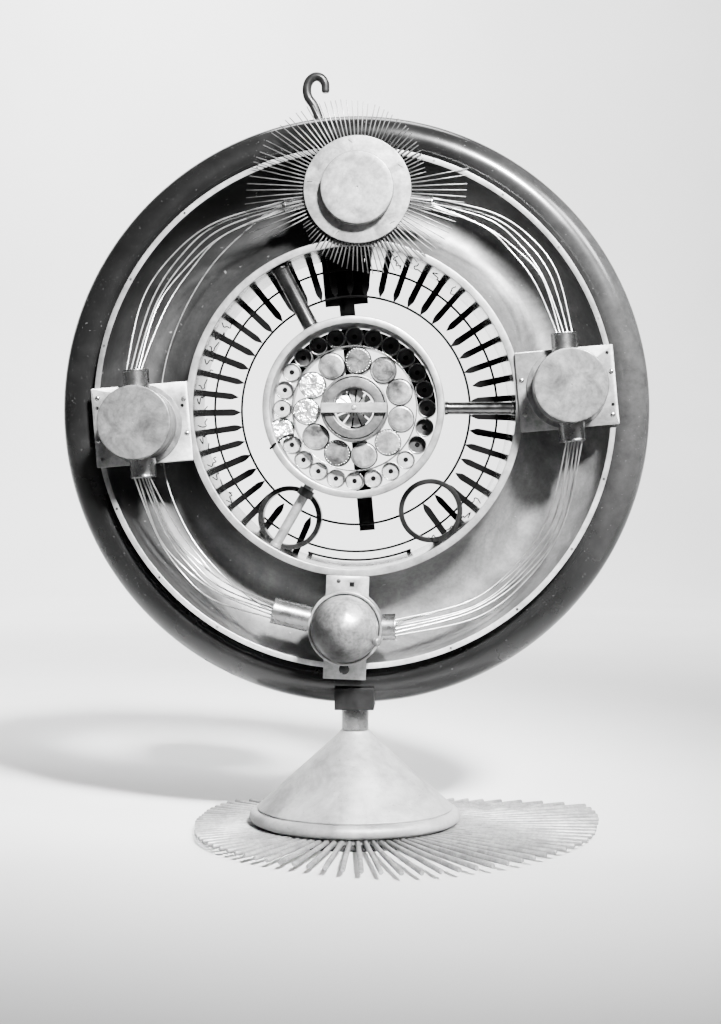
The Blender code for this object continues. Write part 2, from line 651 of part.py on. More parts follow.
def nozzle_mouth(station, angle, radius, reach, depth, height):
    """(point inside the nozzle, mouth, direction) in the wheel's axes."""
    centre = station.location
    way = polar(1, angle + math.degrees(station.rotation_euler.z))
    inside = centre + way * (reach - depth) + Vector((0, 0, height))
    return inside, way, radius


def strand(first, last, lean, lift, spread, middle, height):
    """One wire from a plug to another: straight out of each nozzle, and between them along the trough."""
    (start, start_way, start_radius), (end, end_way, end_radius) = first, last
    ends = []
    for spot, way, radius in ((start, start_way, start_radius), (end, end_way, end_radius)):
        outward = Vector((-way.y, way.x, 0))
        if outward.dot(spot) < 0:
            outward.negate()
        at = spot + outward * lean * radius * 0.6 + Vector((0, 0, lift * radius * 0.35))
        ends.append((at, at + way * 0.012, at + way * 0.026))
    (a, near_a, out_a), (b, near_b, out_b) = ends
    angle_a = math.degrees(math.atan2(out_a.y, out_a.x)) % 360
    angle_b = math.degrees(math.atan2(out_b.y, out_b.x)) % 360
    if abs(angle_b - angle_a) > 180:
        angle_b += 360 if angle_b < angle_a else -360
    points = [a, near_a]
    for i in range(WIRE_STRETCHES + 1):
        s = i / WIRE_STRETCHES
        hump = math.sin(math.pi * s)
        radius = out_a.xy.length + (out_b.xy.length - out_a.xy.length) * s
        radius += (middle + spread * lean - radius) * hump
        rise = out_a.z + (out_b.z - out_a.z) * s
        rise += (height + 0.004 * lift - rise) * hump
        points.append(polar(radius, angle_a + (angle_b - angle_a) * s, rise))
    return [tuple(point) for point in (*points, near_b, b)]


def bundle(name, first, last, count, spread, middle, height, more=()):
    """Thin wires side by side from a plug in one nozzle, along the trough, to a plug in another."""
    routes = list(more)
    for i in range(count):
        lift = math.cos(math.radians(360 * (i + 0.5) / count))
        routes.append(strand(first, last, (2 * i + 1 - count) / (count - 1), lift, spread, middle, height))
    strands = as_mesh(wires(f"{name}_strands", routes, WIRE_RADIUS, None, WHEEL, resolution=0), helper=True)
    plugs = []
    for suffix, (spot, way, radius) in (("", first), ("_far_plug", last)):
        turn = [math.degrees(angle) for angle in way.to_track_quat("Z", "Y").to_euler()]
        plugs.append(cylinder(name + suffix, radius - NOZZLE_WALL - 2 * GAP, -0.003, 0.003, None if suffix else DARK,
                              WHEEL, 12, spot, turn, helper=bool(suffix)))
    boolean(plugs[0], strands, "UNION")
    boolean(plugs[0], plugs[1], "UNION")


def long_wire(first):
    """The route of a single wire from the top left nozzle, behind the left plate, to the lower left of the trough."""
    start, way, _ = first
    route = [start, start + way * 0.014]
    route += [polar(radius, angle, height) for angle, radius, height in LONG_WIRE]
    return [tuple(spot) for spot in route]


def wire_bundles(stations):
    side_radius, side_reach = SIDE_NOZZLE
    side_height = PLATE_FRONT + 2 * GAP + side_radius
    globe_height = PLATE_FRONT + 2 * GAP + 0.0135
    top_radius, top_reach = TOP_NOZZLE

    def side(which, angle):
        return nozzle_mouth(stations[which], angle, side_radius, side_reach, 0.006, side_height)

    top_left = nozzle_mouth(stations["top"], 191, top_radius, top_reach, 0.006, TOP_NOZZLE_Z)
    top_right = nozzle_mouth(stations["top"], -9, top_radius, top_reach, 0.006, TOP_NOZZLE_Z)
    low_left = nozzle_mouth(stations["bottom"], 166.5, 0.013, 0.0743, 0.006, globe_height)
    low_right = nozzle_mouth(stations["bottom"], 1.0, 0.013, 0.0500, 0.006, globe_height)
    bundle("wires_upper_left", top_left, side("left", 270), 5, 0.012, 0.229, 0.022,
           [long_wire(top_left)])
    bundle("wires_upper_right", top_right, side("right", 90), 5, 0.012, 0.235, 0.022)
    bundle("wires_lower_left", low_left, side("left", 90), 6, 0.012, 0.229, 0.024)
    bundle("wires_lower_right", low_right, side("right", 270), 6, 0.009, 0.236, 0.024)


def build():
    base_plate()
    rod_fan()
    base_cone()
    stem()
    ring_and_saddle()
    trough()
    inner_ring()
    reed_comb()
    wire_hoops()
    bottom_strip()
    spokes()
    tube_hoops()
    rear_frame()
    hub_shell()
    hub_fittings()
    fan()
    stations = {side: side_station(side, angle) for side, angle in SIDE_ANGLES.items()}
    stations["top"] = top_station()
    stations["bottom"] = bottom_station()
    bpy.context.view_layer.update()
    wire_bundles(stations)
    for made in PARTS.objects:
        if made.type == "MESH":
            made.data.shade_smooth()
            made.data.set_sharp_from_angle(angle=math.radians(35))


clear_scene()
PARTS = collection("acoustic_wheel")
CUTTERS = collection("cutters")
LACQUER = material("black_lacquer", 0.03, 0.25, 0.0)
DARK = material("dark_iron", 0.04, 0.45, 0.6)
BRASS = material("satin_brass", 0.45, 0.35, 1.0)
STEEL = material("polished_steel", 0.50, 0.30, 1.0)
WHEEL = empty("wheel", None, (0, 0, WHEEL_Z), (90, 0, 0))
TROUGH_ROOM = trough_room()
build()
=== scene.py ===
"""Looks of the acoustic demonstration wheel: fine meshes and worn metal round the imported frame.

Shapes are made in the wheel's own axes, X right, Y up and Z towards the front, and placed by one matrix.
"""

from math import acos, atan2, cos, degrees, hypot, pi, radians, sin
from types import SimpleNamespace

import bmesh
import bpy
from mathutils import Matrix, Vector, noise


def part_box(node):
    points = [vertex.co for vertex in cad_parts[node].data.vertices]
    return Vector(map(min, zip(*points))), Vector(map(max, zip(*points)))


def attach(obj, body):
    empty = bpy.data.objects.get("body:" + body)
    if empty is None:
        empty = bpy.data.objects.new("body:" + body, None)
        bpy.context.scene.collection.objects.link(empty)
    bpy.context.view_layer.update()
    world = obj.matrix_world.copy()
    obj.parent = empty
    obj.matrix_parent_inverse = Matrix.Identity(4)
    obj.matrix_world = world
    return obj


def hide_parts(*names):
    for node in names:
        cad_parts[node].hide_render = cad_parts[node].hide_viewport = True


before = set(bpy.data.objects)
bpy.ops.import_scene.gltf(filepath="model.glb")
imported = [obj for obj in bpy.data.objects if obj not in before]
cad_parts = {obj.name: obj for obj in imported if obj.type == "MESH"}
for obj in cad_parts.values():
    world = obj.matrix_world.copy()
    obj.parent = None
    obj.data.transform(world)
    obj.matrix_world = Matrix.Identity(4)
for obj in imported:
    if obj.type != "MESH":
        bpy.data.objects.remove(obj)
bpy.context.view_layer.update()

# Places, in metres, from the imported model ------

RING_LOW, RING_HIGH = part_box("ring_tube")
WHEEL_Z = (RING_LOW.z + RING_HIGH.z) / 2
RING_OUTER = (RING_HIGH.x - RING_LOW.x) / 2
RING_TUBE = 0.022
WHEEL = Matrix.Translation((0, 0, WHEEL_Z)) @ Matrix.Rotation(radians(90), 4, "X")
WORLD = Matrix.Identity(4)
SMOOTH_BELOW = radians(38)  # faces that meet at a smaller angle are shaded as one


def span(node):
    """A wheel node's middle, back, front and half sizes, in the wheel's axes."""
    low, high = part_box(node)
    return SimpleNamespace(x=(low.x + high.x) / 2, y=(low.z + high.z) / 2 - WHEEL_Z, back=-high.y, front=-low.y,
                           middle=(-low.y - high.y) / 2, half=(high.x - low.x) / 2,
                           half_height=(high.z - low.z) / 2)


def polar(radius, angle, height=0.0):
    turn = radians(angle)
    return Vector((radius * cos(turn), radius * sin(turn), height))


def turned_to(angle, axis="Z"):
    return Matrix.Rotation(radians(angle), 4, axis)


def shifted(x, y, z=0.0):
    return Matrix.Translation((x, y, z))


def out(radius, angle, height=0.0):
    """A shift to a spot given by its radius and angle."""
    return Matrix.Translation(polar(radius, angle, height))


LYING = turned_to(90, "Y")
FLIPPED = turned_to(180, "X")


def arc(radius, first, last, count):
    """Points (x, y) along an arc, with both its ends."""
    return [tuple(polar(radius, first + (last - first) * i / count)[:2]) for i in range(count + 1)]


def circle(radius, tube, count, height=0.0):
    """The round section of a ring, as (radius, height) points."""
    return [(radius + tube * cos(t), height + tube * sin(t))
            for t in (2 * pi * i / count for i in range(count))]


# Meshes ------


def fillet(corners, steps=3):
    """An outline's points with its corners rounded: each corner is (radius, height, round)."""
    points = []
    for i, (x, y, rounding) in enumerate(corners):
        here = Vector((x, y))
        before = Vector(corners[i - 1][:2]) - here
        after = Vector(corners[(i + 1) % len(corners)][:2]) - here
        size = min(rounding, before.length * 0.45, after.length * 0.45)
        if size < 1e-6:
            points.append((x, y))
            continue
        start, end = here + before.normalized() * size, here + after.normalized() * size
        for k in range(steps + 1):
            t = k / steps
            spot = start * (1 - t) ** 2 + here * 2 * t * (1 - t) + end * t * t
            points.append((spot.x, spot.y))
    return points


def slab(inner, outer, front, back, rounds=(0, 0, 0, 0), steps=3):
    """The section of a ring or disc; its four roundings start at the inner front corner."""
    a, b, c, d = rounds
    return fillet([(inner, front, a), (outer, front, b), (outer, back, c), (inner, back, d)], steps)


def smooth(knots, steps=6):
    """Points of a smooth curve through the knots."""
    spots = [Vector(k) for k in knots]
    points = []
    for i in range(len(spots) - 1):
        p0, p1, p2, p3 = spots[max(i - 1, 0)], spots[i], spots[i + 1], spots[min(i + 2, len(spots) - 1)]
        for k in range(steps):
            t = k / steps
            points.append(0.5 * (2 * p1 + (p2 - p0) * t + (2 * p0 - 5 * p1 + 4 * p2 - p3) * t * t
                                 + (3 * p1 - p0 - 3 * p2 + p3) * t ** 3))
    return points + [spots[-1]]


def bent(angle, bends):
    """A smooth path through (radius, turn, height) spots, their turns counted from an angle."""
    return smooth([polar(radius, angle + turn, z) for radius, turn, z in bends], 4)


def quads(rows, columns, wrap_rows=False, wrap_columns=False):
    """Faces between the points of a grid, as indices into its rows laid end to end."""
    return [(i * columns + k, i * columns + (k + 1) % columns, (i + 1) % rows * columns + (k + 1) % columns,
             (i + 1) % rows * columns + k)
            for i in range(rows if wrap_rows else rows - 1) for k in range(columns if wrap_columns else columns - 1)]


class Shape:
    """Points and faces gathered from lathed, swept and flat forms, made into one mesh at the end."""

    def __init__(self):
        self.points = []
        self.faces = []

    def add(self, points, faces, at=None):
        first = len(self.points)
        self.points += [tuple(at @ Vector(p)) if at is not None else tuple(p) for p in points]
        self.faces += [tuple(first + i for i in face) for face in faces]
        return self

    def lathe(self, profile, steps, at=None):
        """Turns an outline of (radius, height) points about local Z."""
        count = len(profile)
        points = [(r * cos(t), r * sin(t), z)
                  for t in (2 * pi * k / steps for k in range(steps)) for r, z in profile]
        faces = [face for face in quads(steps, count, True, True) if any(profile[i % count][0] > 1e-9 for i in face)]
        return self.add(points, faces, at)

    def sweep(self, path, radius, sides, taper=None):
        """A round bar along a path of points, with rounded ends."""
        spots = [Vector(p) for p in path]
        last = len(spots) - 1
        radii = [radius * (taper(i / last) if taper else 1) for i in range(last + 1)]
        ways = [(spots[min(i + 1, last)] - spots[max(i - 1, 0)]).normalized() for i in range(last + 1)]
        spots = [spots[0] - ways[0] * radii[0] * 0.35] + spots + [spots[-1] + ways[-1] * radii[-1] * 0.35]
        ways = [ways[0]] + ways + [ways[-1]]
        radii = [radii[0] * 0.72] + radii + [radii[-1] * 0.72]
        across = ways[0].orthogonal().normalized()
        points = []
        for spot, way, size in zip(spots, ways, radii):
            across = (across - way * across.dot(way)).normalized()
            other = way.cross(across)
            for k in range(sides):
                turn = 2 * pi * k / sides
                points.append(spot + (across * cos(turn) + other * sin(turn)) * size)
        faces = quads(len(spots), sides, wrap_columns=True)
        faces += [tuple(range(sides))[::-1], tuple(range(len(points) - sides, len(points)))]
        return self.add(points, faces)

    def prism(self, outline, low, high, at=None):
        """A flat plate of an outline's shape between two heights."""
        count = len(outline)
        points = [(x, y, low) for x, y in outline] + [(x, y, high) for x, y in outline]
        faces = [tuple(range(count))[::-1], tuple(range(count, 2 * count))]
        faces += [(i, (i + 1) % count, count + (i + 1) % count, count + i) for i in range(count)]
        return self.add(points, faces, at)

    def box(self, size, at=None):
        x, y, z = (s / 2 for s in size)
        return self.prism([(-x, -y), (x, -y), (x, y), (-x, y)], -z, z, at)

    def mesh(self, name):
        mesh = bpy.data.meshes.new(name)
        mesh.from_pydata(self.points, [], self.faces)
        made = bmesh.new()
        made.from_mesh(mesh)
        bmesh.ops.remove_doubles(made, verts=made.verts, dist=1e-6)
        bmesh.ops.recalc_face_normals(made, faces=made.faces)
        made.to_mesh(mesh)
        made.free()
        mesh.shade_smooth()
        mesh.set_sharp_from_angle(angle=SMOOTH_BELOW)
        return mesh


def added(name, data):
    """A new object in the scene."""
    made = bpy.data.objects.new(name, data)
    bpy.context.scene.collection.objects.link(made)
    return made


def soften(piece, width, angle=40, harden=True):
    """A small bevel on a piece's sharp edges."""
    edge = piece.modifiers.new("edges", "BEVEL")
    edge.width = width
    edge.segments = 2
    edge.limit_method = "ANGLE"
    edge.angle_limit = radians(angle)
    edge.harden_normals = harden


def place(name, shape, material, nodes=(), slot=None, at=WHEEL, bevel=0.0, body="wheel"):
    """One piece of the look: it rides on a body, stands for CAD nodes and wears the material given; its slot is not
    used.
    """
    piece = added(name, shape.mesh(name))
    piece.matrix_world = at
    piece.data.materials.append(material)
    if bevel:
        soften(piece, bevel)
    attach(piece, body)
    if nodes:
        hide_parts(*nodes)
    return piece


def lathed(name, outline, steps, material, nodes=(), slot=None, form=None, **more):
    """A piece made of one outline turned about an axis."""
    return place(name, Shape().lathe(outline, steps, form), material, nodes, slot, **more)


def cut(piece, shape, at):
    """Takes a shape away from a piece, for a hole, a slot or a seat."""
    cutter = added("cutter", shape.mesh("cutter"))
    cutter.matrix_world = at
    step = piece.modifiers.new("cut", "BOOLEAN")
    step.operation = "DIFFERENCE"
    step.solver = "EXACT"
    step.object = cutter
    bpy.context.view_layer.update()
    graph = bpy.context.evaluated_depsgraph_get()
    mesh = bpy.data.meshes.new_from_object(piece.evaluated_get(graph))
    mesh.set_sharp_from_angle(angle=SMOOTH_BELOW)
    piece.modifiers.clear()
    piece.data = mesh
    bpy.data.objects.remove(cutter)


# Materials ------


class Nodes:
    """Short calls for the nodes of one material."""

    def __init__(self, name, metallic, coat=0.0):
        self.material = bpy.data.materials.new(f"{name}_look")
        self.material.use_nodes = True
        self.tree = self.material.node_tree
        self.shader = self.tree.nodes["Principled BSDF"]
        self.shader.inputs["Metallic"].default_value = metallic
        self.shader.inputs["Coat Weight"].default_value = coat
        self.shader.inputs["Coat Roughness"].default_value = 0.12
        self.place = self.tree.nodes.new("ShaderNodeTexCoord").outputs["Object"]

    def feed(self, socket, value):
        """Links a socket to another node's output, or sets its value."""
        if isinstance(value, bpy.types.NodeSocket):
            self.tree.links.new(value, socket)
        elif value is not None:
            socket.default_value = value

    def node(self, kind, **inputs):
        made = self.tree.nodes.new(f"ShaderNode{kind}")
        for name, value in inputs.items():
            self.feed(made.inputs[name], value)
        return made

    def scaled(self, vector, scale):
        return self.node("Mapping", Vector=vector, Scale=scale).outputs["Vector"]

    def noise(self, scale, detail=4.0, rough=0.55, vector=None, distortion=0.0):
        return self.node("TexNoise", Vector=vector or self.place, Scale=scale, Detail=detail, Roughness=rough,
                         Distortion=distortion).outputs["Fac"]

    def ramp(self, value, *stops):
        made = self.node("ValToRGB", Fac=value)
        elements = made.color_ramp.elements
        elements.remove(elements[1])
        for i, (spot, grey) in enumerate(stops):
            element = elements[0] if i == 0 else elements.new(spot)
            element.position = spot
            element.color = (grey, grey, grey, 1)
        return made.outputs["Color"]

    def math(self, kind, first, second):
        made = self.node("Math")
        made.operation = kind
        self.feed(made.inputs[0], first)
        self.feed(made.inputs[1], second)
        return made.outputs["Value"]

    def mix(self, amount, first, second, kind="MIX"):
        made = self.node("Mix")
        made.data_type = "RGBA"
        made.blend_type = kind
        self.feed(made.inputs[0], amount)
        for socket, value in ((made.inputs[6], first), (made.inputs[7], second)):
            self.feed(socket, (value, value, value, 1) if isinstance(value, (int, float)) else value)
        return made.outputs[2]

    def times(self, first, second):
        return self.mix(1.0, first, second, "MULTIPLY")

    def along(self, way, zero, one):
        """0 to 1 over the piece, along a direction in its own axes."""
        made = self.node("VectorMath")
        made.operation = "DOT_PRODUCT"
        self.feed(made.inputs[0], self.place)
        made.inputs[1].default_value = way
        return self.math("DIVIDE", self.math("SUBTRACT", made.outputs["Value"], zero), one - zero)

    def rings(self, scale):
        """Fine concentric turning lines about the piece's own Z axis."""
        made = self.node("VectorMath")
        made.operation = "LENGTH"
        self.feed(made.inputs[0], self.scaled(self.place, (1, 1, 0)))
        return self.noise(1.0, 3.0, 0.7, vector=self.scaled(made.outputs["Value"], (scale, scale, scale)))

    def brushed(self, scale):
        """Fine straight lines along the piece's own X axis."""
        return self.noise(1.0, 3.0, 0.7, vector=self.scaled(self.place, (scale * 0.03, scale, scale)))

    def bump(self, height, distance, strength=1.0, under=None):
        return self.node("Bump", Height=height, Distance=distance, Strength=strength, Normal=under).outputs["Normal"]

    def finish(self, colour, roughness, normal=None):
        for name, value in (("Base Color", colour), ("Roughness", roughness), ("Normal", normal)):
            self.feed(self.shader.inputs[name], value)
        return self.material


def worn_metal(name, dark, light, metallic, rough, stain, stain_depth, line_scale, line_bump=0.00002, pits=0.35,
               lines="rings", fade=None):
    """Handled metal: cloudy stains, small dark spots, turning or brushing lines and patchy roughness.

    A fade is painted light and shade: a direction, where along it 0 and 1 are, and the brightness stops between
    them.
    """
    n = Nodes(name, metallic)
    clouds = n.ramp(n.noise(stain, 6, 0.62, distortion=0.6), (0.36, dark), (0.50, (dark + light) / 2), (0.64, light))
    small = n.ramp(n.noise(stain * 7, 5, 0.6), (0.34, 1 - stain_depth * 0.45), (0.60, 1.0))
    spots = n.ramp(n.noise(stain * 24, 2, 0.5), (0.24, 1 - pits), (0.34, 1.0))
    colour = n.times(n.times(clouds, small), spots)
    marks = n.rings(line_scale) if lines == "rings" else n.brushed(line_scale)
    colour = n.mix(0.5, colour, n.ramp(marks, (0.35, 0.82), (0.65, 1.0)), "MULTIPLY")
    # A fade paints light and shade over the colour.
    if fade:
        way, start, end, *stops = fade
        colour = n.times(colour, n.ramp(n.along(way, start, end), *stops))
    low, high = rough
    roughness = n.ramp(n.noise(stain * 2.3, 5, 0.6), (0.3, low), (0.7, high))
    normal = n.bump(marks, line_bump)
    normal = n.bump(n.noise(stain * 5, 4, 0.5), 0.00012, 0.5, normal)
    return n.finish(colour, roughness, normal)


def lacquer():
    """Black polish with fine dust and cloudy handling marks, and painted light that makes its right side greyer."""
    n = Nodes("black_lacquer", 0.0, coat=0.3)
    cloud = n.noise(9, 6, 0.6, distortion=0.8)
    colour = n.ramp(cloud, (0.3, 0.003), (0.55, 0.006), (0.75, 0.014))
    # Painted light: the right side is painted greyer, with streaks, for the side light on the polish.
    painted_right_light = n.ramp(n.along((0.97, 0.25, 0), 0.16, 0.31), (0.0, 0.0), (0.6, 0.018), (1.0, 0.042))
    painted_right_light = n.times(painted_right_light, n.ramp(n.noise(70, 6, 0.7), (0.3, 0.55), (0.7, 1.3)))
    colour = n.mix(1.0, colour, painted_right_light, "ADD")
    n.shader.inputs["Specular IOR Level"].default_value = 0.32
    dust = n.ramp(n.noise(420, 2, 0.5), (0.70, 0.0), (0.76, 1.0))
    colour = n.mix(n.math("MULTIPLY", dust, 0.2), colour, 0.35)
    roughness = n.ramp(n.noise(16, 6, 0.65), (0.3, 0.16), (0.7, 0.32))
    return n.finish(colour, roughness, n.bump(n.noise(60, 5, 0.6), 0.00010, 0.5))


def blackened(name="dark_iron", dark=0.008, light=0.04, rough=(0.35, 0.6), shine=0.35):
    """Blackened iron with thin rubbed patches."""
    n = Nodes(name, 0.0)
    n.shader.inputs["Specular IOR Level"].default_value = shine
    colour = n.ramp(n.noise(60, 6, 0.6, distortion=0.5), (0.32, dark), (0.60, light * 0.7), (0.78, light))
    roughness = n.ramp(n.noise(90, 4, 0.6), (0.3, rough[0]), (0.7, rough[1]))
    return n.finish(colour, roughness, n.bump(n.noise(240, 4, 0.6), 0.00008, 0.6))


def sheet_metal():
    """Dull spun sheet with cloudy oxide, spinning lines, specks and shallow dents; painted shade darkens it at the
    left, the top and the outer upper right, and painted light brightens the lower right.
    """
    n = Nodes("trough_metal", 0.45)
    clouds = n.ramp(n.noise(11, 7, 0.62, distortion=0.9), (0.34, 0.09), (0.50, 0.15), (0.66, 0.25))
    # Painted shade at the upper left and painted light at the lower right, across the whole trough.
    painted_light_and_shade = n.ramp(n.along((0.94, -0.33, 0), -0.20, 0.20), (0.0, 0.20), (0.30, 0.42), (0.58, 1.0), (1.0, 1.10))
    # Painted shadow of the rim over the outer part of the trough at the upper right.
    upper = n.ramp(n.along((0.66, 0.75, 0), 0.170, 0.255), (0.0, 1.0), (0.30, 0.95), (0.60, 0.40), (1.0, 0.28))
    # Painted shade towards the top and upper left, where the top station's shadow falls.
    painted_top_shade = n.ramp(n.along((-0.45, 0.89, 0), 0.130, 0.250), (0.0, 1.0), (0.45, 0.75), (1.0, 0.45))
    clouds = n.times(n.times(n.times(clouds, painted_light_and_shade), upper), painted_top_shade)
    grain = n.ramp(n.noise(260, 4, 0.7), (0.30, 0.72), (0.62, 1.0))
    specks = n.ramp(n.noise(150, 3, 0.5), (0.70, 0.0), (0.77, 1.0))
    colour = n.times(clouds, grain)
    colour = n.mix(n.math("MULTIPLY", specks, 0.35), colour, 0.62)
    lines = n.rings(900)
    colour = n.mix(0.45, colour, n.ramp(lines, (0.35, 0.80), (0.65, 1.0)), "MULTIPLY")
    roughness = n.ramp(n.noise(24, 5, 0.6), (0.3, 0.34), (0.7, 0.50))
    normal = n.bump(n.noise(14, 3, 0.5), 0.0012, 0.5, n.bump(lines, 0.00003))
    return n.finish(colour, roughness, normal)


def drawn_wire(name="steel_wire", dark=0.26, light=0.46):
    """Drawn steel wire with patchy brightness."""
    n = Nodes(name, 0.85)
    colour = n.ramp(n.noise(70, 4, 0.6), (0.3, dark), (0.7, light))
    roughness = n.ramp(n.noise(130, 3, 0.6), (0.3, 0.28), (0.7, 0.48))
    return n.finish(colour, roughness, n.bump(n.noise(700, 2, 0.5), 0.00002))


def foil():
    """Crumpled bright foil."""
    n = Nodes("foil", 0.9)
    colour = n.ramp(n.noise(90, 5, 0.6, distortion=0.6), (0.30, 0.25), (0.45, 0.55), (0.62, 0.80))
    roughness = n.ramp(n.noise(60, 4, 0.6), (0.3, 0.18), (0.7, 0.34))
    creases = n.noise(170, 3, 0.55, distortion=1.2)
    return n.finish(colour, roughness, n.bump(creases, 0.0022, 0.9))


LACQUER = lacquer()
IRON = blackened()
REED_IRON = blackened("reed_iron", 0.0008, 0.003, (0.5, 0.7), 0.03)
TUBE_IRON = blackened("dark_tube", 0.002, 0.010, (0.20, 0.34), 0.25)
HOOP_IRON = blackened("hoop_iron", 0.002, 0.010, (0.3, 0.5), 0.08)
HOOK_IRON = blackened("hook_iron", 0.004, 0.026, (0.24, 0.42), 0.35)
SADDLE_IRON = blackened("saddle_iron", 0.003, 0.014, (0.45, 0.6), 0.10)
TROUGH_METAL = sheet_metal()
FOIL = foil()
WIRE = drawn_wire()
PIN_WIRE = drawn_wire("pin_wire", 0.06, 0.22)
RIM_METAL = worn_metal("satin_brass", 0.24, 0.42, 0.7, (0.30, 0.46), 30, 0.4, 1500)
# Painted light: the rim lip is painted brighter at the bottom and darker at the sides.
LIP_METAL_PAINTED_LIGHT = worn_metal("lip_brass_painted_light", 0.24, 0.42, 0.55, (0.34, 0.50), 30, 0.4, 1500,
                       fade=((0.12, -1.0, 0), -0.25, 0.25, (0.0, 1.0), (0.30, 0.55), (0.62, 0.7), (1.0, 1.9)))
WALL_METAL = worn_metal("polished_brass", 0.62, 0.80, 1.0, (0.10, 0.24), 60, 0.3, 1500, 0.000006, 0.1)
PLATE_METAL = worn_metal("plate_brass", 0.17, 0.34, 0.6, (0.34, 0.52), 34, 0.5, 1400, lines="brushed")
HUB_METAL = worn_metal("hub_brass", 0.09, 0.19, 0.7, (0.26, 0.42), 40, 0.6, 1800)
CAP_METAL = worn_metal("polished_steel", 0.065, 0.185, 0.5, (0.32, 0.52), 42, 0.6, 2200)
TOP_METAL = worn_metal("top_steel", 0.16, 0.33, 0.5, (0.32, 0.52), 42, 0.6, 2200)
NOZZLE_METAL = worn_metal("nozzle_steel", 0.28, 0.42, 1.0, (0.22, 0.32), 40, 0.2, 2600, 0.000008, 0.1)
SPOKE_METAL = worn_metal("spoke_steel", 0.14, 0.24, 1.0, (0.12, 0.20), 60, 0.3, 2600, 0.000006, 0.1)
PLUG = worn_metal("tube_plug", 0.18, 0.34, 0.2, (0.5, 0.7), 90, 0.7, 2600)
# A darker copy of the disc metal: painted shade for the two discs at the top and upper right, with mottled stains.
DISC_PAINTED_SHADE = worn_metal("dark_disc", 0.02, 0.22, 0.6, (0.22, 0.42), 75, 0.8, 900, lines="brushed")
DISC_METAL = worn_metal("disc_metal", 0.03, 0.34, 0.65, (0.24, 0.5), 32, 0.8, 900, lines="brushed")
FAN_METAL = worn_metal("fan_metal", 0.30, 0.60, 0.8, (0.25, 0.45), 80, 0.5, 1600, lines="brushed")
# Painted shade: the globe is painted darker towards its lower left.
GLOBE_METAL_PAINTED_SHADE = worn_metal("globe_metal_painted_shade", 0.22, 0.50, 0.6, (0.30, 0.50), 45, 0.9, 1800, 0.00001,
                         fade=((-0.72, -0.68, 0), -0.018, 0.026,
                               (0.0, 1.0), (0.40, 0.55), (0.72, 0.10), (1.0, 0.04)))
FOOT_METAL = worn_metal("foot_metal", 0.22, 0.50, 0.35, (0.40, 0.60), 16, 0.3, 1300)
ROD_METAL = worn_metal("rod_metal", 0.26, 0.48, 0.45, (0.40, 0.6), 40, 0.6, 700)


# Ring, trough and inner ring ------

FRONT = 0.034  # height of the trough's rim and of the inner ring's flange
TROUGH_MID, TROUGH_HALF, TROUGH_DEPTH, TROUGH_WALL = 0.2118, 0.0457, 0.056, 0.0022
RIM_OUTER = span("trough").half
RIM_SCREWS = (20, 38, 55, 72, 112, 131, 150, 166, 203, 221, 238, 292, 309, 327, 344)
WALL_FOOT = 0.1568  # the wall's inner radius just in front of the reeds


def flush_screws(name, radius, spots):
    """Low screw heads at (place, turn) spots; each slot is a gap between two half heads."""
    shape = Shape()
    slot = radius * 0.16
    for at, turn in spots:
        for side in (0, 180):
            outline = [(max(x, slot), y) for x, y in arc(radius, -80, 80, 8)]
            shape.prism(outline, -0.0008, radius * 0.22, at @ turned_to(side + turn))
        shape.lathe(slab(0, radius * 0.96, radius * 0.04, -0.001), 20, at)
    place(name, shape, NOZZLE_METAL)


def ring():
    lathed("ring_body", circle(RING_OUTER - RING_TUBE, RING_TUBE, 40), 200, LACQUER, ["ring_tube"])


def trough():
    def side(half, depth, first, last, count):
        return [(TROUGH_MID + half * x, FRONT - depth * y) for x, y in arc(1, first, last, count)]

    inner = TROUGH_MID + TROUGH_HALF
    inside = side(TROUGH_HALF, TROUGH_DEPTH, 3, 176, 40)
    outside = side(TROUGH_HALF + TROUGH_WALL, TROUGH_DEPTH + TROUGH_WALL, 4, 161.5, 32)
    lathed("trough_shell", [*reversed(inside), (inner, FRONT - 0.0012), *outside], 192, TROUGH_METAL, ["trough"])
    lathed("trough_rim", slab(inner, RIM_OUTER, FRONT, FRONT - 0.004, (0.0004, 0.0007, 0.0006, 0)), 192, LIP_METAL_PAINTED_LIGHT)
    flush_screws("rim_screws", 0.0013, [(out(0.2603, angle, FRONT), angle * 3) for angle in RIM_SCREWS])


def inner_ring():
    s = span("inner_ring")
    inner, flange, step = s.half - 0.0074, 0.1656, FRONT - 0.0026
    lathed("inner_ring_flange", slab(inner, s.half, FRONT, step, (0.0007, 0.0007, 0.0003, 0)), 192, RIM_METAL,
           ["inner_ring"])
    wall = fillet([(inner, step, 0), (flange, step, 0), (flange, s.back, 0.0004), (inner, s.back, 0.0006),
                   (inner, -0.0152, 0), (WALL_FOOT, -0.0152, 0.0003)])
    lathed("inner_ring_wall", wall, 192, WALL_METAL)


def brackets():
    """Straps and screws at the back, over the four CAD brackets, which stay in sight."""
    for angle in (45, 135, 225, 315):
        strap = Shape().box((0.030, 0.020, 0.004), out(0.250, angle, -0.0185) @ turned_to(angle))
        place(f"bracket_strap_{angle}", strap, IRON, bevel=0.0006)
        spots = [(out(reach, angle, -0.0205) @ FLIPPED, 25) for reach in (0.241, 0.259)]
        flush_screws(f"bracket_screws_{angle}", 0.0028, spots)
        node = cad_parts[f"bracket_{angle}"]
        node.data.materials.clear()
        node.data.materials.append(IRON)


# Annulus ------

REED_PITCH, REED_PHASE, REED_COUNT = 7.35, 4.45, 49
REED_GAP = (251, 299)  # no reeds between these angles
SHORT_REEDS = {1: 0.004, 5: 0.005, 23: 0.004, 31: 0.002, 44: 0.003}
SPOKE_HEIGHT = 0.020


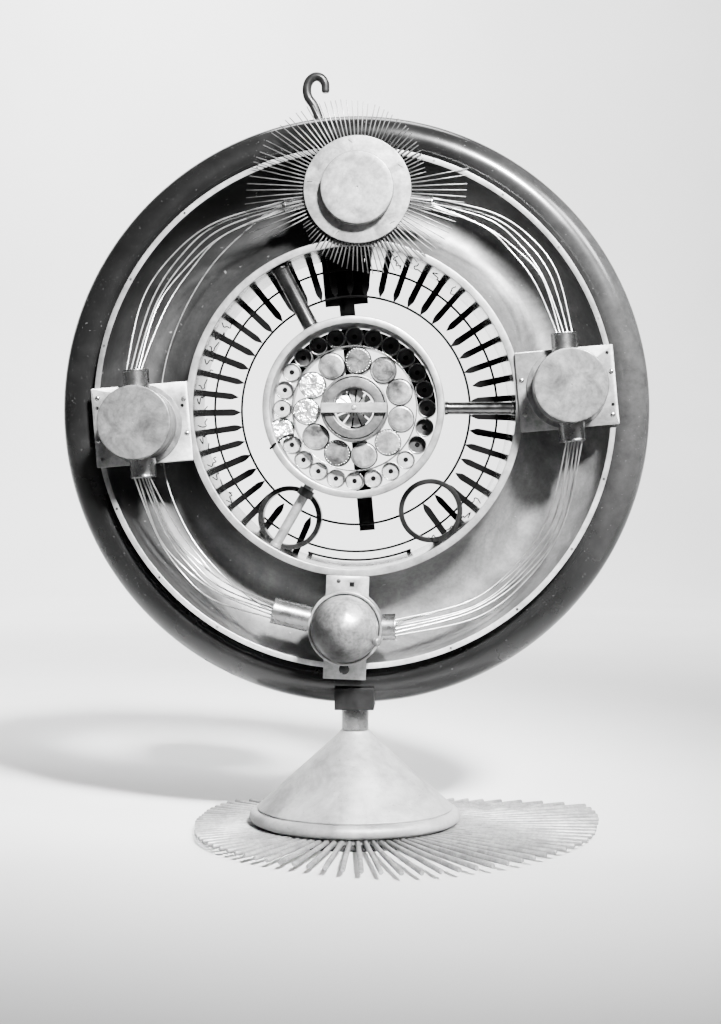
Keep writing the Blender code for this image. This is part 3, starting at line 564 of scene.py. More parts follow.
def reeds():
    """Dark pointed reeds that stand out of the inner ring's wall."""
    s = span("reed_comb")
    wall = s.half + 0.0004
    shape = Shape()
    for i in range(REED_COUNT):
        angle = REED_PHASE + REED_PITCH * i
        if REED_GAP[0] < angle < REED_GAP[1]:
            continue
        tip = 0.1186 + SHORT_REEDS.get(i, 0) + 0.0006 * sin(i * 2.7)
        half = 0.0034 + 0.0002 * sin(i * 1.9)
        side = [(wall, half * 0.94), (tip + 0.0090, half), (tip + 0.0062, half * 0.85), (tip + 0.0010, half * 0.20)]
        outline = side + [(tip, 0)] + [(x, -y) for x, y in reversed(side)]
        shape.prism(outline, s.middle - 0.0012, s.middle + 0.0012, turned_to(angle))
    place("reed_comb_body", shape, REED_IRON, ["reed_comb"], bevel=0.0004)


def wire_hoops():
    for node, wire in (("wire_hoop_outer", 0.00115), ("wire_hoop_inner", 0.00120)):
        s = span(node)
        lathed(f"{node}_wire", circle(s.half - 0.0009, wire, 10, s.middle), 160, REED_IRON, [node], "steel_wire")
    middle = span("bottom_strip").middle
    shape = Shape().sweep([polar(0.1547, 251.5 + 2 * k, middle) for k in range(21)], 0.0012, 12)
    for angle in (252.5, 290.5):
        shape.box((0.0052, 0.0046, 0.002), out(0.1575, angle, middle) @ turned_to(angle))
    place("bottom_strip_bar", shape, REED_IRON, ["bottom_strip"])


def spokes():
    """Three tubes from the hub to the inner ring, each with a collar at both ends; the last wears a clamp."""
    start, end = 0.0914, 0.1616
    for node, angle, radius, material in (("spoke_right", 0, 0.0062, SPOKE_METAL),
                                          ("spoke_upper", 118, 0.0080, TUBE_IRON),
                                          ("spoke_lower", 240, 0.0050, PLATE_METAL)):
        collar = radius * 1.12
        outline = fillet([(0, start, 0), (collar, start, 0.0004), (collar, start + 0.003, 0.0004),
                          (radius, start + 0.0034, 0.0003), (radius, end - 0.0034, 0.0003),
                          (collar, end - 0.003, 0.0004), (collar, end, 0.0004), (0, end, 0)])
        aim = turned_to(angle) @ shifted(0, 0, SPOKE_HEIGHT) @ LYING
        lathed(f"{node}_tube", outline, 32, material, [node], form=aim)
    lathed("spoke_lower_clamp", slab(0.0064, 0.0080, 0.0945, 0.1030, (0, 0.0006, 0.0006, 0)), 32, IRON, form=aim)


def tube_hoops():
    outer, half = 0.0325, 0.011
    for node, angle, material in (("tube_hoop_left", 239.0, TUBE_IRON), ("tube_hoop_right", 306.7, HOOP_IRON)):
        shape = Shape().lathe(slab(outer - 0.0050, outer, half, -half, (0.0006,) * 4), 72, out(0.1292, angle))
        shape.box((0.0030, 0.012, 0.010), turned_to(angle) @ shifted(0.1608, 0))
        place(f"{node}_ring", shape, material, [node])


def wall_wires():
    """Short bent bits of wire that stand out of the inner ring's wall between the reeds."""
    shape = Shape()
    wall = 0.1596
    rows = [147 + 4.9 * i for i in range(15)] + [302 + 7.0 * i for i in range(4)] + [50 + 8.0 * i for i in range(4)]
    for i, angle in enumerate(rows):
        lean, size = sin(i * 2.3), 1 + 0.35 * cos(i * 1.7)
        bends = ((0, 0.0, 0.024), (0.0026, 1.0 + lean, 0.022), (0.0040, 0.2 - lean, 0.018),
                 (0.0062, -0.6 * lean, 0.014), (0.0050, -1.5 - lean, 0.011), (0.0068, -2.1 + lean, 0.008))
        shape.sweep(bent(angle, [(wall - depth * size, turn, z) for depth, turn, z in bends]), 0.00062, 6)
    place("wall_wires", shape, REED_IRON)


def rear_frame():
    bar, post = span("rear_bar"), span("rear_post")
    tilt = turned_to(5.2)
    side = [(0.0080, -0.125), (0.0080, 0.112), (0.0225, 0.112), (0.0225, 0.164)]
    shape = Shape().prism(side + [(-x, y) for x, y in reversed(side)], bar.back, bar.front, tilt)
    place("rear_bar_plate", shape, REED_IRON, ["rear_bar"], bevel=0.0005)
    spots = [(tilt @ shifted(x, y, bar.back) @ FLIPPED, 40 * x)
             for x, y in ((-0.015, 0.156), (0.015, 0.156), (0, 0.0), (0, -0.115))]
    flush_screws("rear_bar_screws", 0.0032, spots)
    lathed("rear_post_tube", slab(0.0027, 0.0075, post.front, post.back, (0.0003, 0.0006, 0, 0)), 32, IRON,
           ["rear_post"])


# Hub ------

TUBE_COUNT, TUBE_CIRCLE = 24, 0.0735
DISC_COUNT, DISC_CIRCLE = 11, 0.0485
STUD_COUNT = 26
BLADE_COUNT, BLADE_Z = 12, 0.0215


def hub():
    s, band = span("hub_shell"), span("sleeve_band")
    inner = s.half - 0.0073
    outline = fillet([(inner, s.front - 0.0004, 0.001), (s.half - 0.0038, s.front, 0.002),
                      (s.half, s.front - 0.0006, 0.0012), (s.half, s.back, 0.0008), (inner, s.back, 0.0008)], 4)
    lathed("hub_ring", outline, 160, RIM_METAL, ["hub_shell"])
    outline = slab(band.half - 0.001, band.half, band.front, band.back, (0.0003, 0.0003, 0, 0))
    lathed("sleeve_band_ring", outline, 120, NOZZLE_METAL, ["sleeve_band"], "satin_brass")
    tube_bank()
    # Painted shade: a black sheet behind the upper tubes stands for the shade inside the hub ring's wall.
    painted_shade_sheet = Shape().prism(arc(0.0830, 2, 152, 30) + arc(0.0640, 152, 2, 30), -0.0056, -0.0046)
    place("hub_painted_shade_sheet", painted_shade_sheet, REED_IRON)
    disc_bank()
    hub_clip(span("tube_bank").front, s.front)


def tube_bank():
    """Short tubes round the hub, with plugs that lie deep at the upper right and are painted dark there as shade,
    and painted black shade in their bores.
    """
    tubes, plugs, painted_shade_plugs, painted_bore_shade = (Shape() for _ in range(4))
    bank = span("tube_bank")
    foot = bank.back + 0.001
    for i in range(TUBE_COUNT):
        angle = 90 + 360 / TUBE_COUNT * i
        at = out(TUBE_CIRCLE, angle)
        front = bank.front - 0.0006 + 0.0006 * sin(i * 2.1)
        tubes.lathe(slab(0.0083, 0.0094, front, bank.back, (0.0003, 0.0003, 0, 0), 2), 36, at)
        # Plugs at the upper right lie deep and take dark iron as painted shade, where the hub ring's shadow falls.
        deep = abs((angle - 52 + 180) % 360 - 180) < 95
        sunk = front - (0.0070 if deep else 0.0024 + 0.0014 * sin(i * 2.9))
        kind = painted_shade_plugs if deep else plugs
        kind.lathe([(0.0025, sunk - 0.004), (0.0025, sunk - 0.0003), (0.0028, sunk), (0.0079, sunk),
                    (0.00825, sunk - 0.0004), (0.00825, foot), (0, foot), (0, sunk - 0.004)], 36, at)
        # Painted shade: a black disc in each plug's bore stands for the dark depth of the hole.
        painted_bore_shade.lathe(slab(0, 0.0024, sunk - 0.0008, sunk - 0.0035), 20, at)
    place("tube_bank_tubes", tubes, NOZZLE_METAL, ["tube_bank"])
    place("tube_bank_plugs", plugs, PLUG)
    place("tube_bank_painted_shade_plugs", painted_shade_plugs, IRON)
    place("tube_bank_painted_bore_shade", painted_bore_shade, REED_IRON)


def disc_bank():
    """Discs inside the ring of tubes: two of foil, two painted darker as shade, and three that wear a circle of
    studs.
    """
    discs, foils, dark, studs, outlines = (Shape() for _ in range(5))
    bank = span("disc_bank")
    for i in range(DISC_COUNT):
        at = out(DISC_CIRCLE, 85.4 + 360 / DISC_COUNT * i)
        front = bank.front - 0.0004 + 0.0004 * cos(i * 1.7)
        # Discs 0 and 10, at the top and upper right, are painted darker as the hub ring's shade, over their mottled
        # stains.
        kind = foils if i in (2, 3) else dark if i in (0, 10) else discs
        kind.lathe(fillet([(0, front, 0), (0.0104, front, 0.0003), (0.0110, front - 0.0006 * (i == 10), 0.0002),
                           (0.0124, front - 0.0004, 0.0002), (0.0134, front - 0.0003, 0.0003),
                           (0.0134, bank.back, 0), (0, bank.back, 0)], 2), 48, at)
        outlines.lathe(slab(0.0129, 0.0136, front + 0.0001, front - 0.0012), 48, at)
        if i in (0, 5, 7):
            for k in range(STUD_COUNT):
                studs.lathe([(0, front + 0.0007), (0.0006, front + 0.0004), (0.0008, front - 0.0006),
                             (0, front - 0.0006)], 8, at @ out(0.0121, 360 * k / STUD_COUNT))
    place("disc_bank_discs", discs, DISC_METAL, ["disc_bank"])
    place("disc_outlines", outlines, REED_IRON)
    place("disc_bank_foils", foils, FOIL)
    place("disc_bank_painted_shade_discs", dark, DISC_PAINTED_SHADE)
    place("disc_studs", studs, NOZZLE_METAL)


def hub_clip(low, high):
    """A crumpled scrap of foil tucked over two tubes, held by bent dark strips."""
    across, along = 16, 22
    count = (across + 1) * (along + 1)
    points = []
    for side in (0.0006, 0.0):
        for i in range(across + 1):
            for k in range(along + 1):
                spot = polar(0.0660 + 0.0185 * i / across, 190.0 + 14.0 * k / along)
                crease = noise.noise(spot * 190) * 0.0016 + noise.noise(spot * 420) * 0.0007
                edge = 0.0012 * noise.noise(Vector((i, k, 3)) * 0.4)
                height = low + 0.0022 + crease + side + 0.004 * (i / across) ** 2
                points.append((spot.x + edge, spot.y - edge, height))

    def index(side, spot):
        return side * count + spot[0] * (along + 1) + spot[1]

    faces = quads(across + 1, along + 1)
    faces += [tuple(count + i for i in face) for face in faces]
    border = [(i, 0) for i in range(across)] + [(across, k) for k in range(along)]
    border += [(across - i, along) for i in range(across)] + [(0, along - k) for k in range(along)]
    for a, b in zip(border, border[1:] + border[:1]):
        faces.append((index(0, a), index(0, b), index(1, b), index(1, a)))
    place("hub_clip_foil", Shape().add(points, faces), FOIL)
    strips = Shape()
    bends = ((0.0670, 0.4, low + 0.0030), (0.0720, -1.2, low + 0.0046), (0.0780, -1.4, low + 0.0056),
             (0.0830, 0.0, low + 0.0072))
    for angle, thick in ((189.5, 0.0006), (203.5, 0.0010)):
        strips.sweep(bent(angle, bends), thick, 8)
    bends = ((0.0830, 0.0, low + 0.0072), (0.0862, 0.8, high + 0.0016), (0.0900, 1.6, high + 0.0014),
             (0.0926, 2.0, high - 0.0030))
    strips.sweep(bent(204.5, bends), 0.0012, 8)
    place("hub_clip_strips", strips, REED_IRON)


def boss():
    s, bar = span("boss_ring"), span("bearing_bar")
    groove = s.front - 0.0032
    outline = fillet([(0.0208, s.front - 0.0008, 0.0004), (0.0222, s.front, 0.0004),
                      (s.half - 0.0034, s.front, 0.0004), (s.half - 0.0033, groove, 0.0002),
                      (s.half - 0.0022, groove, 0.0002), (s.half - 0.0021, s.front - 0.0008, 0.0002),
                      (s.half, s.front - 0.0012, 0.0006), (s.half, s.back, 0.0004), (0.0208, s.back, 0)])
    lathed("boss_ring_body", outline, 120, HUB_METAL, ["boss_ring"])
    shape = Shape().box((bar.half * 2, bar.half_height * 2, bar.front - bar.back), shifted(0, 0, bar.middle))
    piece = place("bearing_bar_body", shape, PLATE_METAL, ["bearing_bar"], "polished_steel", bevel=0.0005)
    cut(piece, Shape().lathe(slab(0, 0.0026, bar.front + 0.01, bar.back - 0.01), 24), WHEEL)


def fan():
    """Bladed wheel on its axle: bright wedge blades set at a small pitch."""
    s = span("fan")
    shape = Shape()
    shape.lathe(fillet([(0, s.front, 0), (0.0022, s.front, 0.0006), (0.0022, BLADE_Z + 0.0042, 0),
                        (0.0046, BLADE_Z + 0.0038, 0.0006), (0.0046, BLADE_Z - 0.0036, 0.0006),
                        (0.0022, BLADE_Z - 0.0040, 0), (0.0022, s.back, 0.0004), (0, s.back, 0)]), 32)
    corners = ((0.0040, -8), (s.half - 0.0004, -12.5), (s.half, 0), (s.half - 0.0004, 12.5), (0.0040, 8))
    blade = [tuple(polar(*corner)[:2]) for corner in corners]
    for i in range(BLADE_COUNT):
        angle = 360 / BLADE_COUNT * i + 8
        shape.prism(blade, -0.0003, 0.0003, turned_to(angle) @ shifted(0, 0, BLADE_Z) @ turned_to(17, "X"))
    place("fan_wheel", shape, FAN_METAL, ["fan"], body="fan")


# Stations ------

PLATE_BACK, PLATE_FRONT = span("left_plate").back, span("left_plate").front
LEFT_TURN, RIGHT_TURN = 184.5, 5.0
SIDES = {"left": (LEFT_TURN, span("left_cap")), "right": (RIGHT_TURN, span("right_cap"))}
NOZZLE_Z = PLATE_FRONT + 0.0006 + 0.013
SIDE_NOZZLE = (NOZZLE_Z, 0.013, 0.0350, 0.054)  # height, radius, near and far end
TOP_NOZZLE = (0.0255, 0.0075, 0.0295, 0.076)


def nozzle_at(station, angle, height, radius, start, end):
    s = span(station)
    return SimpleNamespace(x=s.x, y=s.y, angle=angle, height=height, radius=radius, start=start, end=end)


NOZZLES = {
    "left_nozzle_upper": nozzle_at("left_cap", LEFT_TURN + 270, *SIDE_NOZZLE),
    "left_nozzle_lower": nozzle_at("left_cap", LEFT_TURN + 90, *SIDE_NOZZLE),
    "right_nozzle_upper": nozzle_at("right_cap", RIGHT_TURN + 90, *SIDE_NOZZLE),
    "right_nozzle_lower": nozzle_at("right_cap", RIGHT_TURN + 270, *SIDE_NOZZLE),
    "top_nozzle_right": nozzle_at("top_flange", -9, *TOP_NOZZLE),
    "top_nozzle_left": nozzle_at("top_flange", 191, *TOP_NOZZLE),
    "bottom_nozzle_left": nozzle_at("globe", 166.5, NOZZLE_Z + 0.0005, 0.013, 0.0366, 0.0743),
    "bottom_nozzle_right": nozzle_at("globe", 1.0, NOZZLE_Z + 0.0005, 0.013, 0.0366, 0.0500),
}


def nozzle(name):
    """A short turned tube with a thicker lip and a dark plug deep inside."""
    s = NOZZLES[name]
    bore, lip = s.radius - 0.0016, s.radius * 1.015
    at = WHEEL @ shifted(s.x, s.y, s.height) @ turned_to(s.angle)
    outline = fillet([(bore, s.start, 0), (s.radius, s.start, 0), (s.radius, s.end - 0.0022, 0.0002),
                      (lip, s.end - 0.0018, 0.0003), (lip, s.end, 0.0004), (bore, s.end, 0.0005)])
    lathed(f"{name}_tube", outline, 56, NOZZLE_METAL, [name], form=LYING, at=at)
    lathed(f"{name}_plug", slab(0, bore, s.end - 0.010, s.end - 0.013), 40, REED_IRON, form=LYING, at=at)


def mouth(name):
    """Where wires leave a nozzle: a spot inside its end, the way out and its radius."""
    s = NOZZLES[name]
    way = polar(1, s.angle)
    return Vector((s.x, s.y, s.height)) + way * (s.end - 0.006), way, s.radius


def cap_screw(shape, at, radius, height, turn=0.0):
    """A round-headed screw with a slot."""
    slot, foot = radius * 0.14, -0.0006
    rows = []
    for rise in range(0, 91, 15):
        across, z = radius * cos(radians(rise)), height * sin(radians(rise))
        rows.append([(max(x, slot), y, z) for x, y in arc(across, -84, 84, 12)])
    points = [(x, y, foot) for x, y, _ in rows[0]] + [point for row in rows for point in row]
    count = len(rows[0])
    faces = quads(len(rows) + 1, count)
    faces += [tuple(range(0, len(points), count)), tuple(range(count - 1, len(points), count)), tuple(range(count))]
    for side in (0, 180):
        shape.add(points, faces, at @ turned_to(side + turn))
    shape.lathe([(0, height * 0.35), (radius * 0.8, height * 0.30), (radius * 0.8, foot), (0, foot)], 20, at)


def round_plate(half_x, half_y, corner=0.0012):
    """A rectangle's outline with small round corners."""
    x, y = half_x - corner, half_y - corner
    return [(middle_x + dx, middle_y + dy)
            for middle_x, middle_y, first in ((x, y, 0), (-x, y, 90), (-x, -y, 180), (x, -y, 270))
            for dx, dy in arc(corner, first, first + 90, 3)]


def side_stations():
    """A plate across the trough, a drum with a seam and a pull-off cap, nozzles, screws and small holes."""
    for side, (angle, cap) in SIDES.items():
        station = WHEEL @ shifted(cap.x, cap.y) @ turned_to(angle)
        drum = span(f"{side}_drum")
        holes, screws = Shape(), Shape()
        plate = Shape().prism(round_plate(0.0490, 0.0400), PLATE_BACK, PLATE_FRONT)
        piece = place(f"{side}_plate_body", plate, PLATE_METAL, [f"{side}_plate"], at=station, bevel=0.0004)
        for x, y in ((0.0425, 0.032), (-0.0420, -0.0160), (0.0440, -0.0200)):
            holes.lathe(slab(0, 0.0018, 0.06, 0.02), 20, shifted(x, y))
        cut(piece, holes, station)
        for x, y, turn in ((0.0452, 0.0130, 20), (-0.0446, 0.0120, 80), (-0.0440, -0.0225, 130),
                           (0.0430, -0.0300, 60)):
            cap_screw(screws, shifted(x, y, PLATE_FRONT), 0.0026, 0.0013, turn)
        place(f"{side}_plate_screws", screws, NOZZLE_METAL, at=station)
        outline = fillet([(0, drum.back + 0.002, 0), (0.0325, drum.back + 0.002, 0), (0.0325, drum.front, 0.0004),
                          (0.0350, drum.front, 0.0004), (0.0350, drum.back + 0.0018, 0.0008),
                          (0.0405, drum.back + 0.0015, 0.0005), (0.0405, drum.back, 0), (0, drum.back, 0)])
        lathed(f"{side}_drum_body", outline, 96, CAP_METAL, [f"{side}_drum"], at=station)
        seat = drum.front + 0.0003
        dimple = [(0, cap.front - 0.0006), (0.0007, cap.front - 0.0005), (0.0010, cap.front)]
        outline = fillet([(0.0340, cap.front, 0), (cap.half, cap.front, 0.0016), (cap.half, cap.back, 0.0004),
                          (0.0354, cap.back, 0.0002), (0.0354, seat, 0), (0.0340, seat, 0)])
        lathed(f"{side}_cap_body", [*dimple, *outline, (0, seat)], 120, CAP_METAL, [f"{side}_cap"], at=station,
               body=f"{side}_cap")
        nozzle(f"{side}_nozzle_upper")
        nozzle(f"{side}_nozzle_lower")


def top_station():
    """Flange with five short slots over a wheel of fine pins, and a cap that turns on its centre."""
    flange, cap, pins, chamber = (span(node) for node in ("top_flange", "top_cap", "pin_wheel", "top_chamber"))
    station = WHEEL @ shifted(flange.x, flange.y)
    outline = slab(0, flange.half, flange.front, flange.back, (0, 0.0007, 0.0007, 0))
    piece = lathed("top_flange_disc", outline, 128, TOP_METAL, ["top_flange"], "satin_brass", at=station)
    slots = Shape()
    for angle, lean in ((98.6, -38), (28, -35), (-44, 25), (-115, 45), (171, 0)):
        slots.box((0.0052, 0.0007, 0.003), out(0.0485, angle, flange.front) @ turned_to(lean))
    cut(piece, slots, station)
    outline = fillet([(0.0300, cap.front, 0), (cap.half, cap.front - 0.0002, 0.0012), (cap.half, cap.back, 0.0004),
                      (0.0300, cap.back, 0)])
    dimple = [(0, cap.front - 0.0012), (0.0008, cap.front - 0.0010), (0.0012, cap.front - 0.0001)]
    lathed("top_cap_body", [*dimple, *outline, (0, cap.back)], 120, TOP_METAL, ["top_cap"], at=station,
           body="top_cap")
    outline = slab(0, chamber.half, chamber.front, chamber.back, (0, 0.001, 0.003, 0))
    lathed("top_chamber_body", outline, 72, REED_IRON, ["top_chamber"], at=station)
    shape = Shape()
    middle = pins.middle
    shape.lathe(slab(0.030, 0.050, middle + 0.0009, middle - 0.0009, (0, 0.0004, 0.0004, 0)), 100)
    for angle, reach in points_of("pin_wheel", flange, 100, 14):
        wave = 1.1 * noise.noise(Vector((angle * 0.9, 0.3, 0.7)))
        reach -= 0.0030 * (0.5 + 0.5 * noise.noise(Vector((angle * 1.7, 4.1, 2.3))))
        path = [polar(0.047, angle, middle), polar((0.047 + reach) / 2, angle + wave * 0.4, middle + 0.0002),
                polar(reach, angle + wave * 1.4, middle + 0.0006 * sin(angle * 2.1))]
        shape.sweep(path, 0.00075, 7, taper=lambda t: 1 - 0.35 * t)
    place("pin_wheel_pins", shape, PIN_WIRE, ["pin_wheel"], at=station)
    nozzle("top_nozzle_right")
    nozzle("top_nozzle_left")


def points_of(node, middle, count, phase):
    """(angle, reach) of each point of a fan of pins or rods, read from the CAD node.

    Pins lie in the wheel's plane about a middle; rods lie level about the foot's axis, and have none.
    """
    spots = []
    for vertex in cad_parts[node].data.vertices:
        x, y = vertex.co.x, vertex.co.y
        if middle:
            x, y = vertex.co.x - middle.x, vertex.co.z - WHEEL_Z - middle.y
        spots.append((degrees(atan2(y, x)), hypot(x, y)))
    found = []
    for angle in (phase + 360 * i / count for i in range(count)):
        near = [reach for turn, reach in spots if abs((turn - angle + 180) % 360 - 180) < 180 / count * 0.8]
        found.append((angle, max(near)))
    return found


def globe():
    """Dented globe, seated in a cup on a strap with two screws, with a small key at its right side."""
    s, cup, plate = span("globe"), span("globe_cup"), span("bottom_plate")
    centre = shifted(s.x, s.y)
    station, strap = WHEEL @ centre, centre @ turned_to(-2)
    radius, rows, columns = 0.0338, 48, 72
    hit = Vector((0.1, -0.75, 0.65)).normalized()
    points = []
    for i in range(rows + 1):
        for k in range(columns):
            down, turn = pi * i / rows, 2 * pi * k / columns
            way = Vector((sin(down) * cos(turn), sin(down) * sin(turn), cos(down)))
            dent = noise.noise(way * 2.3) * 0.00035 + noise.noise(way * 6.0 + Vector((3, 1, 2))) * 0.00022
            hollow = max(0.0, 1 - (way - hit).length / 0.35)
            points.append(way * (radius - 0.0005 + dent - 0.0009 * hollow ** 2))
    faces = quads(rows + 1, columns, wrap_columns=True)
    place("globe_body", Shape().add(points, faces, shifted(0, 0, s.middle)), GLOBE_METAL_PAINTED_SHADE, ["globe"], at=station)
    outline = slab(0.0344, cup.half, cup.front, cup.back, (0.0003, 0.0006, 0.0008, 0))
    lathed("globe_cup_ring", outline, 96, RIM_METAL, ["globe_cup"], at=station)
    tab, bulge = 0.0215, 0.0375
    reach = degrees(acos(tab / bulge))
    outline = [(-tab, 0.0510), *arc(bulge, 180 - reach, 180 + reach, 24), (-tab, -0.0530),
               (tab, -0.0530), *arc(bulge, -reach, reach, 24), (tab, 0.0510)]
    shape = Shape().prism(outline, plate.back, plate.front)
    piece = place("bottom_plate_body", shape, PLATE_METAL, ["bottom_plate"], at=WHEEL @ strap, bevel=0.0004)
    cut(piece, Shape().box((0.0048, 0.0048, 0.02), shifted(0.0045, 0.0425, plate.front)), WHEEL @ strap)
    screws = Shape()
    cap_screw(screws, strap @ shifted(-0.0005, -0.0430, plate.front), 0.0052, 0.0024, 150)
    cap_screw(screws, strap @ shifted(-0.0090, 0.0455, plate.front), 0.0022, 0.0010, 60)
    place("bottom_screws", screws, IRON)
    way = Vector((0.846, -0.284, 0.450)).normalized()
    key = station @ shifted(0, 0, s.middle) @ way.to_track_quat("Z", "Y").to_matrix().to_4x4()
    outline = fillet([(0, 0.0418, 0), (0.0030, 0.0416, 0.0006), (0.0050, 0.0398, 0.0010), (0.0050, 0.0365, 0.0008),
                      (0.0036, 0.0352, 0.0006), (0.0036, 0.0347, 0), (0, 0.0347, 0)])
    lathed("globe_key_head", outline, 40, GLOBE_METAL_PAINTED_SHADE, ["globe_key"], at=key, body="globe_key")
    nozzle("bottom_nozzle_left")
    nozzle("bottom_nozzle_right")


# Wires ------

BUNDLES = (("wires_upper_left", "top_nozzle_left", "left_nozzle_upper", 5, 0.012, 0.229, 0.022),
           ("wires_upper_right", "top_nozzle_right", "right_nozzle_upper", 5, 0.012, 0.235, 0.022),
           ("wires_lower_left", "bottom_nozzle_left", "left_nozzle_lower", 6, 0.012, 0.229, 0.024),
           ("wires_lower_right", "bottom_nozzle_right", "right_nozzle_lower", 6, 0.009, 0.236, 0.024))
LOOSE_ROUTE = ((118, 0.2140, 0.020), (134, 0.2070, 0.014), (151, 0.2010, 0.012), (168, 0.1990, 0.012),
               (185, 0.1995, 0.012), (202, 0.2060, 0.012), (218, 0.2120, 0.014), (231, 0.2155, 0.022),
               (240, 0.2170, 0.036))  # angle, radius and height of the long wire


def strand(first, last, lean, lift, spread, middle, height, wander):
    """One wire: straight out of each nozzle, and between them in a long curve along the trough."""
    ends = []
    for spot, way, radius in (first, last):
        outward = Vector((-way.y, way.x, 0))
        if outward.dot(spot) < 0:
            outward.negate()
        at = spot + outward * lean * radius * 0.6 + Vector((0, 0, lift * radius * 0.35))
        ends.append((at, at + way * 0.009, at + way * 0.026))
    (a, near_a, out_a), (b, near_b, out_b) = ends
    angle_a = degrees(atan2(out_a.y, out_a.x)) % 360
    angle_b = degrees(atan2(out_b.y, out_b.x)) % 360
    if abs(angle_b - angle_a) > 180:
        angle_b += 360 if angle_b < angle_a else -360
    knots = [a, near_a]
    for s in (0.25, 0.50, 0.75):
        hump = sin(pi * s)
        radius = out_a.xy.length + (out_b.xy.length - out_a.xy.length) * s
        radius += (middle + spread * lean - radius) * hump + wander * sin(2 * pi * s)
        rise = out_a.z + (out_b.z - out_a.z) * s
        rise += (height + 0.004 * lift - rise) * hump
        knots.append(polar(radius, angle_a + (angle_b - angle_a) * s, rise))
    return smooth([*knots, near_b, b], 10)


def wire_bundles():
    """Four bundles between the nozzles, and one long wire down the left side."""
    for node, first, last, count, spread, middle, rise in BUNDLES:
        shape = Shape()
        for i in range(count):
            lift = cos(radians(360 * (i + 0.5) / count))
            lean = (2 * i + 1 - count) / (count - 1)
            wander = 0.0022 * sin(i * 2.4 + middle * 90)
            shape.sweep(strand(mouth(first), mouth(last), lean, lift, spread, middle, rise, wander), 0.00080, 8)
        if node == "wires_upper_left":
            (start, way, _), (end, end_way, _) = mouth(first), mouth("bottom_nozzle_left")
            route = [start, start + way * 0.014, *(polar(r, a, z) for a, r, z in LOOSE_ROUTE)]
            shape.sweep(smooth([*route, end + end_way * 0.012, end]), 0.00075, 8)
        place(f"{node}_strands", shape, WIRE, [node])


# Foot, stem, saddle and hook ------

BEAD_RADIUS, BEAD_Z = 0.1015, 0.0180
ROD_COUNT = 84


def foot():
    low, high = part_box("base_plate")
    lathed("base_plate_disc", slab(0, high.x, high.z, low.z, (0, 0.001, 0.001, 0)), 128, IRON, ["base_plate"],
           at=WORLD, body="foot")
    bead = [(BEAD_RADIUS + x, BEAD_Z + z) for x, z in arc(0.0065, 85, -95, 18)]
    slope = fillet([(0.0145, 0.105, 0.0008), (0.0170, 0.1015, 0.004), (0.1002, 0.0266, 0.0008), (0.0990, 0.0247, 0)])
    lathed("foot_cone", [(0, 0.105), *slope, *bead, (0.0990, 0.0110), (0, 0.0110)], 160, FOOT_METAL, ["base_cone"],
           at=WORLD, body="foot")
    shape = Shape()
    low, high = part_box("rod_fan")
    middle = (low.z + high.z) / 2
    for i, (angle, reach) in enumerate(points_of("rod_fan", None, ROD_COUNT, -170 + 180 / ROD_COUNT)):
        sway = 0.25 * sin(i * 1.7)
        path = [polar(0.092, angle, middle), polar(0.55 * reach + 0.04, angle + sway, middle),
                polar(reach - 0.001, angle, middle)]
        shape.sweep(path, 0.0025, 12)
    shape.lathe(slab(0.080, 0.0995, middle + 0.0023, middle - 0.0023, (0, 0.0006, 0.0006, 0)), 84)
    place("rod_fan_rods", shape, ROD_METAL, ["rod_fan"], at=WORLD, body="foot")
    lathed("stem_body", slab(0, 0.0137, 0.1275, 0.1053, (0, 0.0006, 0.0004, 0)), 96, NOZZLE_METAL, ["stem"],
           at=WORLD, body="foot")


def saddle():
    low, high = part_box("saddle")
    shape = Shape().box(high - low, Matrix.Translation((low + high) / 2))
    piece = place("saddle_block", shape, SADDLE_IRON, ["saddle"], at=WORLD)
    cut(piece, Shape().lathe(circle(RING_OUTER - RING_TUBE, RING_TUBE + 0.0002, 32), 160), WHEEL)
    soften(piece, 0.0007, 50, False)


def hook():
    route = [(-0.0385, 0.272, -0.0240), (-0.0385, 0.292, -0.027), (-0.0390, 0.304, -0.030), (-0.0440, 0.318, -0.030),
             (-0.0500, 0.327, -0.030), (-0.0515, 0.336, -0.030), (-0.0490, 0.344, -0.030),
             (-0.0430, 0.3485, -0.030), (-0.0365, 0.347, -0.030), (-0.0325, 0.341, -0.030), (-0.0320, 0.333, -0.030)]
    shape = Shape().sweep(smooth(route), 0.0047, 20, taper=lambda t: 1 - 0.12 * max(0.0, t - 0.8) / 0.2)
    shape.lathe(fillet([(0, 0.004, 0), (0.0085, 0.004, 0.001), (0.0095, 0, 0.001), (0, 0, 0)]), 40,
                shifted(-0.0385, 0.284, -0.0245) @ turned_to(-25, "X"))
    place("hook_rod", shape, HOOK_IRON, ["hook"])


# Stage ------


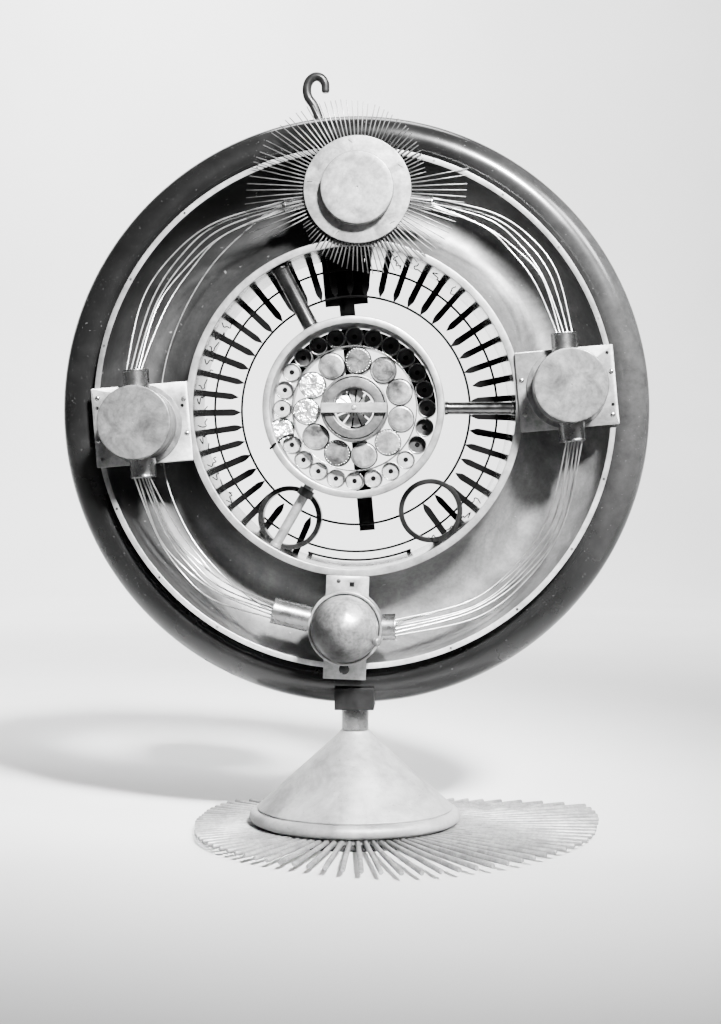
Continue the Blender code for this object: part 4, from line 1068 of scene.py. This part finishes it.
def floor():
    """Pale floor that curves up into a pale wall far behind."""
    bend, wall = 1.6, 6.0
    profile = [(-8.0, 0.0), *((wall - bend + y, bend + z) for y, z in arc(bend, -90, 0, 16)), (wall, 8.0)]
    points = [(x, y, z) for y, z in profile for x in (-9, 9)]
    faces = quads(len(profile), 2)
    mesh = bpy.data.meshes.new("stage_floor")
    mesh.from_pydata(points, [], faces)
    mesh.shade_smooth()
    made = added("stage_floor", mesh)
    n = Nodes("stage_paint", 0.0)
    mesh.materials.append(n.finish(n.ramp(n.noise(1.2, 3, 0.5), (0.3, 0.76), (0.7, 0.83)),
                                   n.ramp(n.noise(3, 2), (0.3, 0.85), (0.7, 0.95))))


def aimed(piece, spot, aim):
    piece.location = spot
    piece.rotation_euler = (Vector(aim) - Vector(spot)).to_track_quat("-Z", "Y").to_euler()


def light(name, spot, aim, size, power, spread=180):
    lamp = bpy.data.lights.new(name, "AREA")
    lamp.shape = "DISK"
    lamp.size = size
    lamp.energy = power
    lamp.spread = radians(spread)
    aimed(added(name, lamp), spot, aim)


def studio():
    centre = Vector((0, 0, WHEEL_Z))
    light("key", centre + Vector((0.31, -0.76, 0.58)) * 4.0, centre, 0.60, 27, 20)
    light("side", centre + Vector((0.66, -0.45, 0.60)) * 3.2, centre, 1.10, 6, 30)
    light("wall_wash", (-1.3, 3.0, 3.6), (-0.9, 6.0, 1.0), 2.6, 600)
    light("floor_wash", (0.0, 1.6, 3.4), (0.0, 3.4, 0.0), 2.0, 120)
    world = bpy.data.worlds.new("studio")
    world.use_nodes = True
    background = world.node_tree.nodes["Background"]
    background.inputs["Color"].default_value = (0.8, 0.8, 0.8, 1)
    background.inputs["Strength"].default_value = 0.12
    bpy.context.scene.world = world


def camera():
    made = added("camera", bpy.data.cameras.new("camera"))
    aimed(made, (0.068, -1.760, 0.336), (0.0055, 0, 0.328))
    made.data.lens = 60.4
    made.data.sensor_width = 36
    bpy.context.scene.camera = made


camera()
floor()
studio()
for build in (ring, trough, inner_ring, brackets, reeds, wire_hoops, spokes, tube_hoops, wall_wires, rear_frame, hub,
              boss, fan, side_stations, top_station, globe, wire_bundles, foot, saddle, hook):
    build()
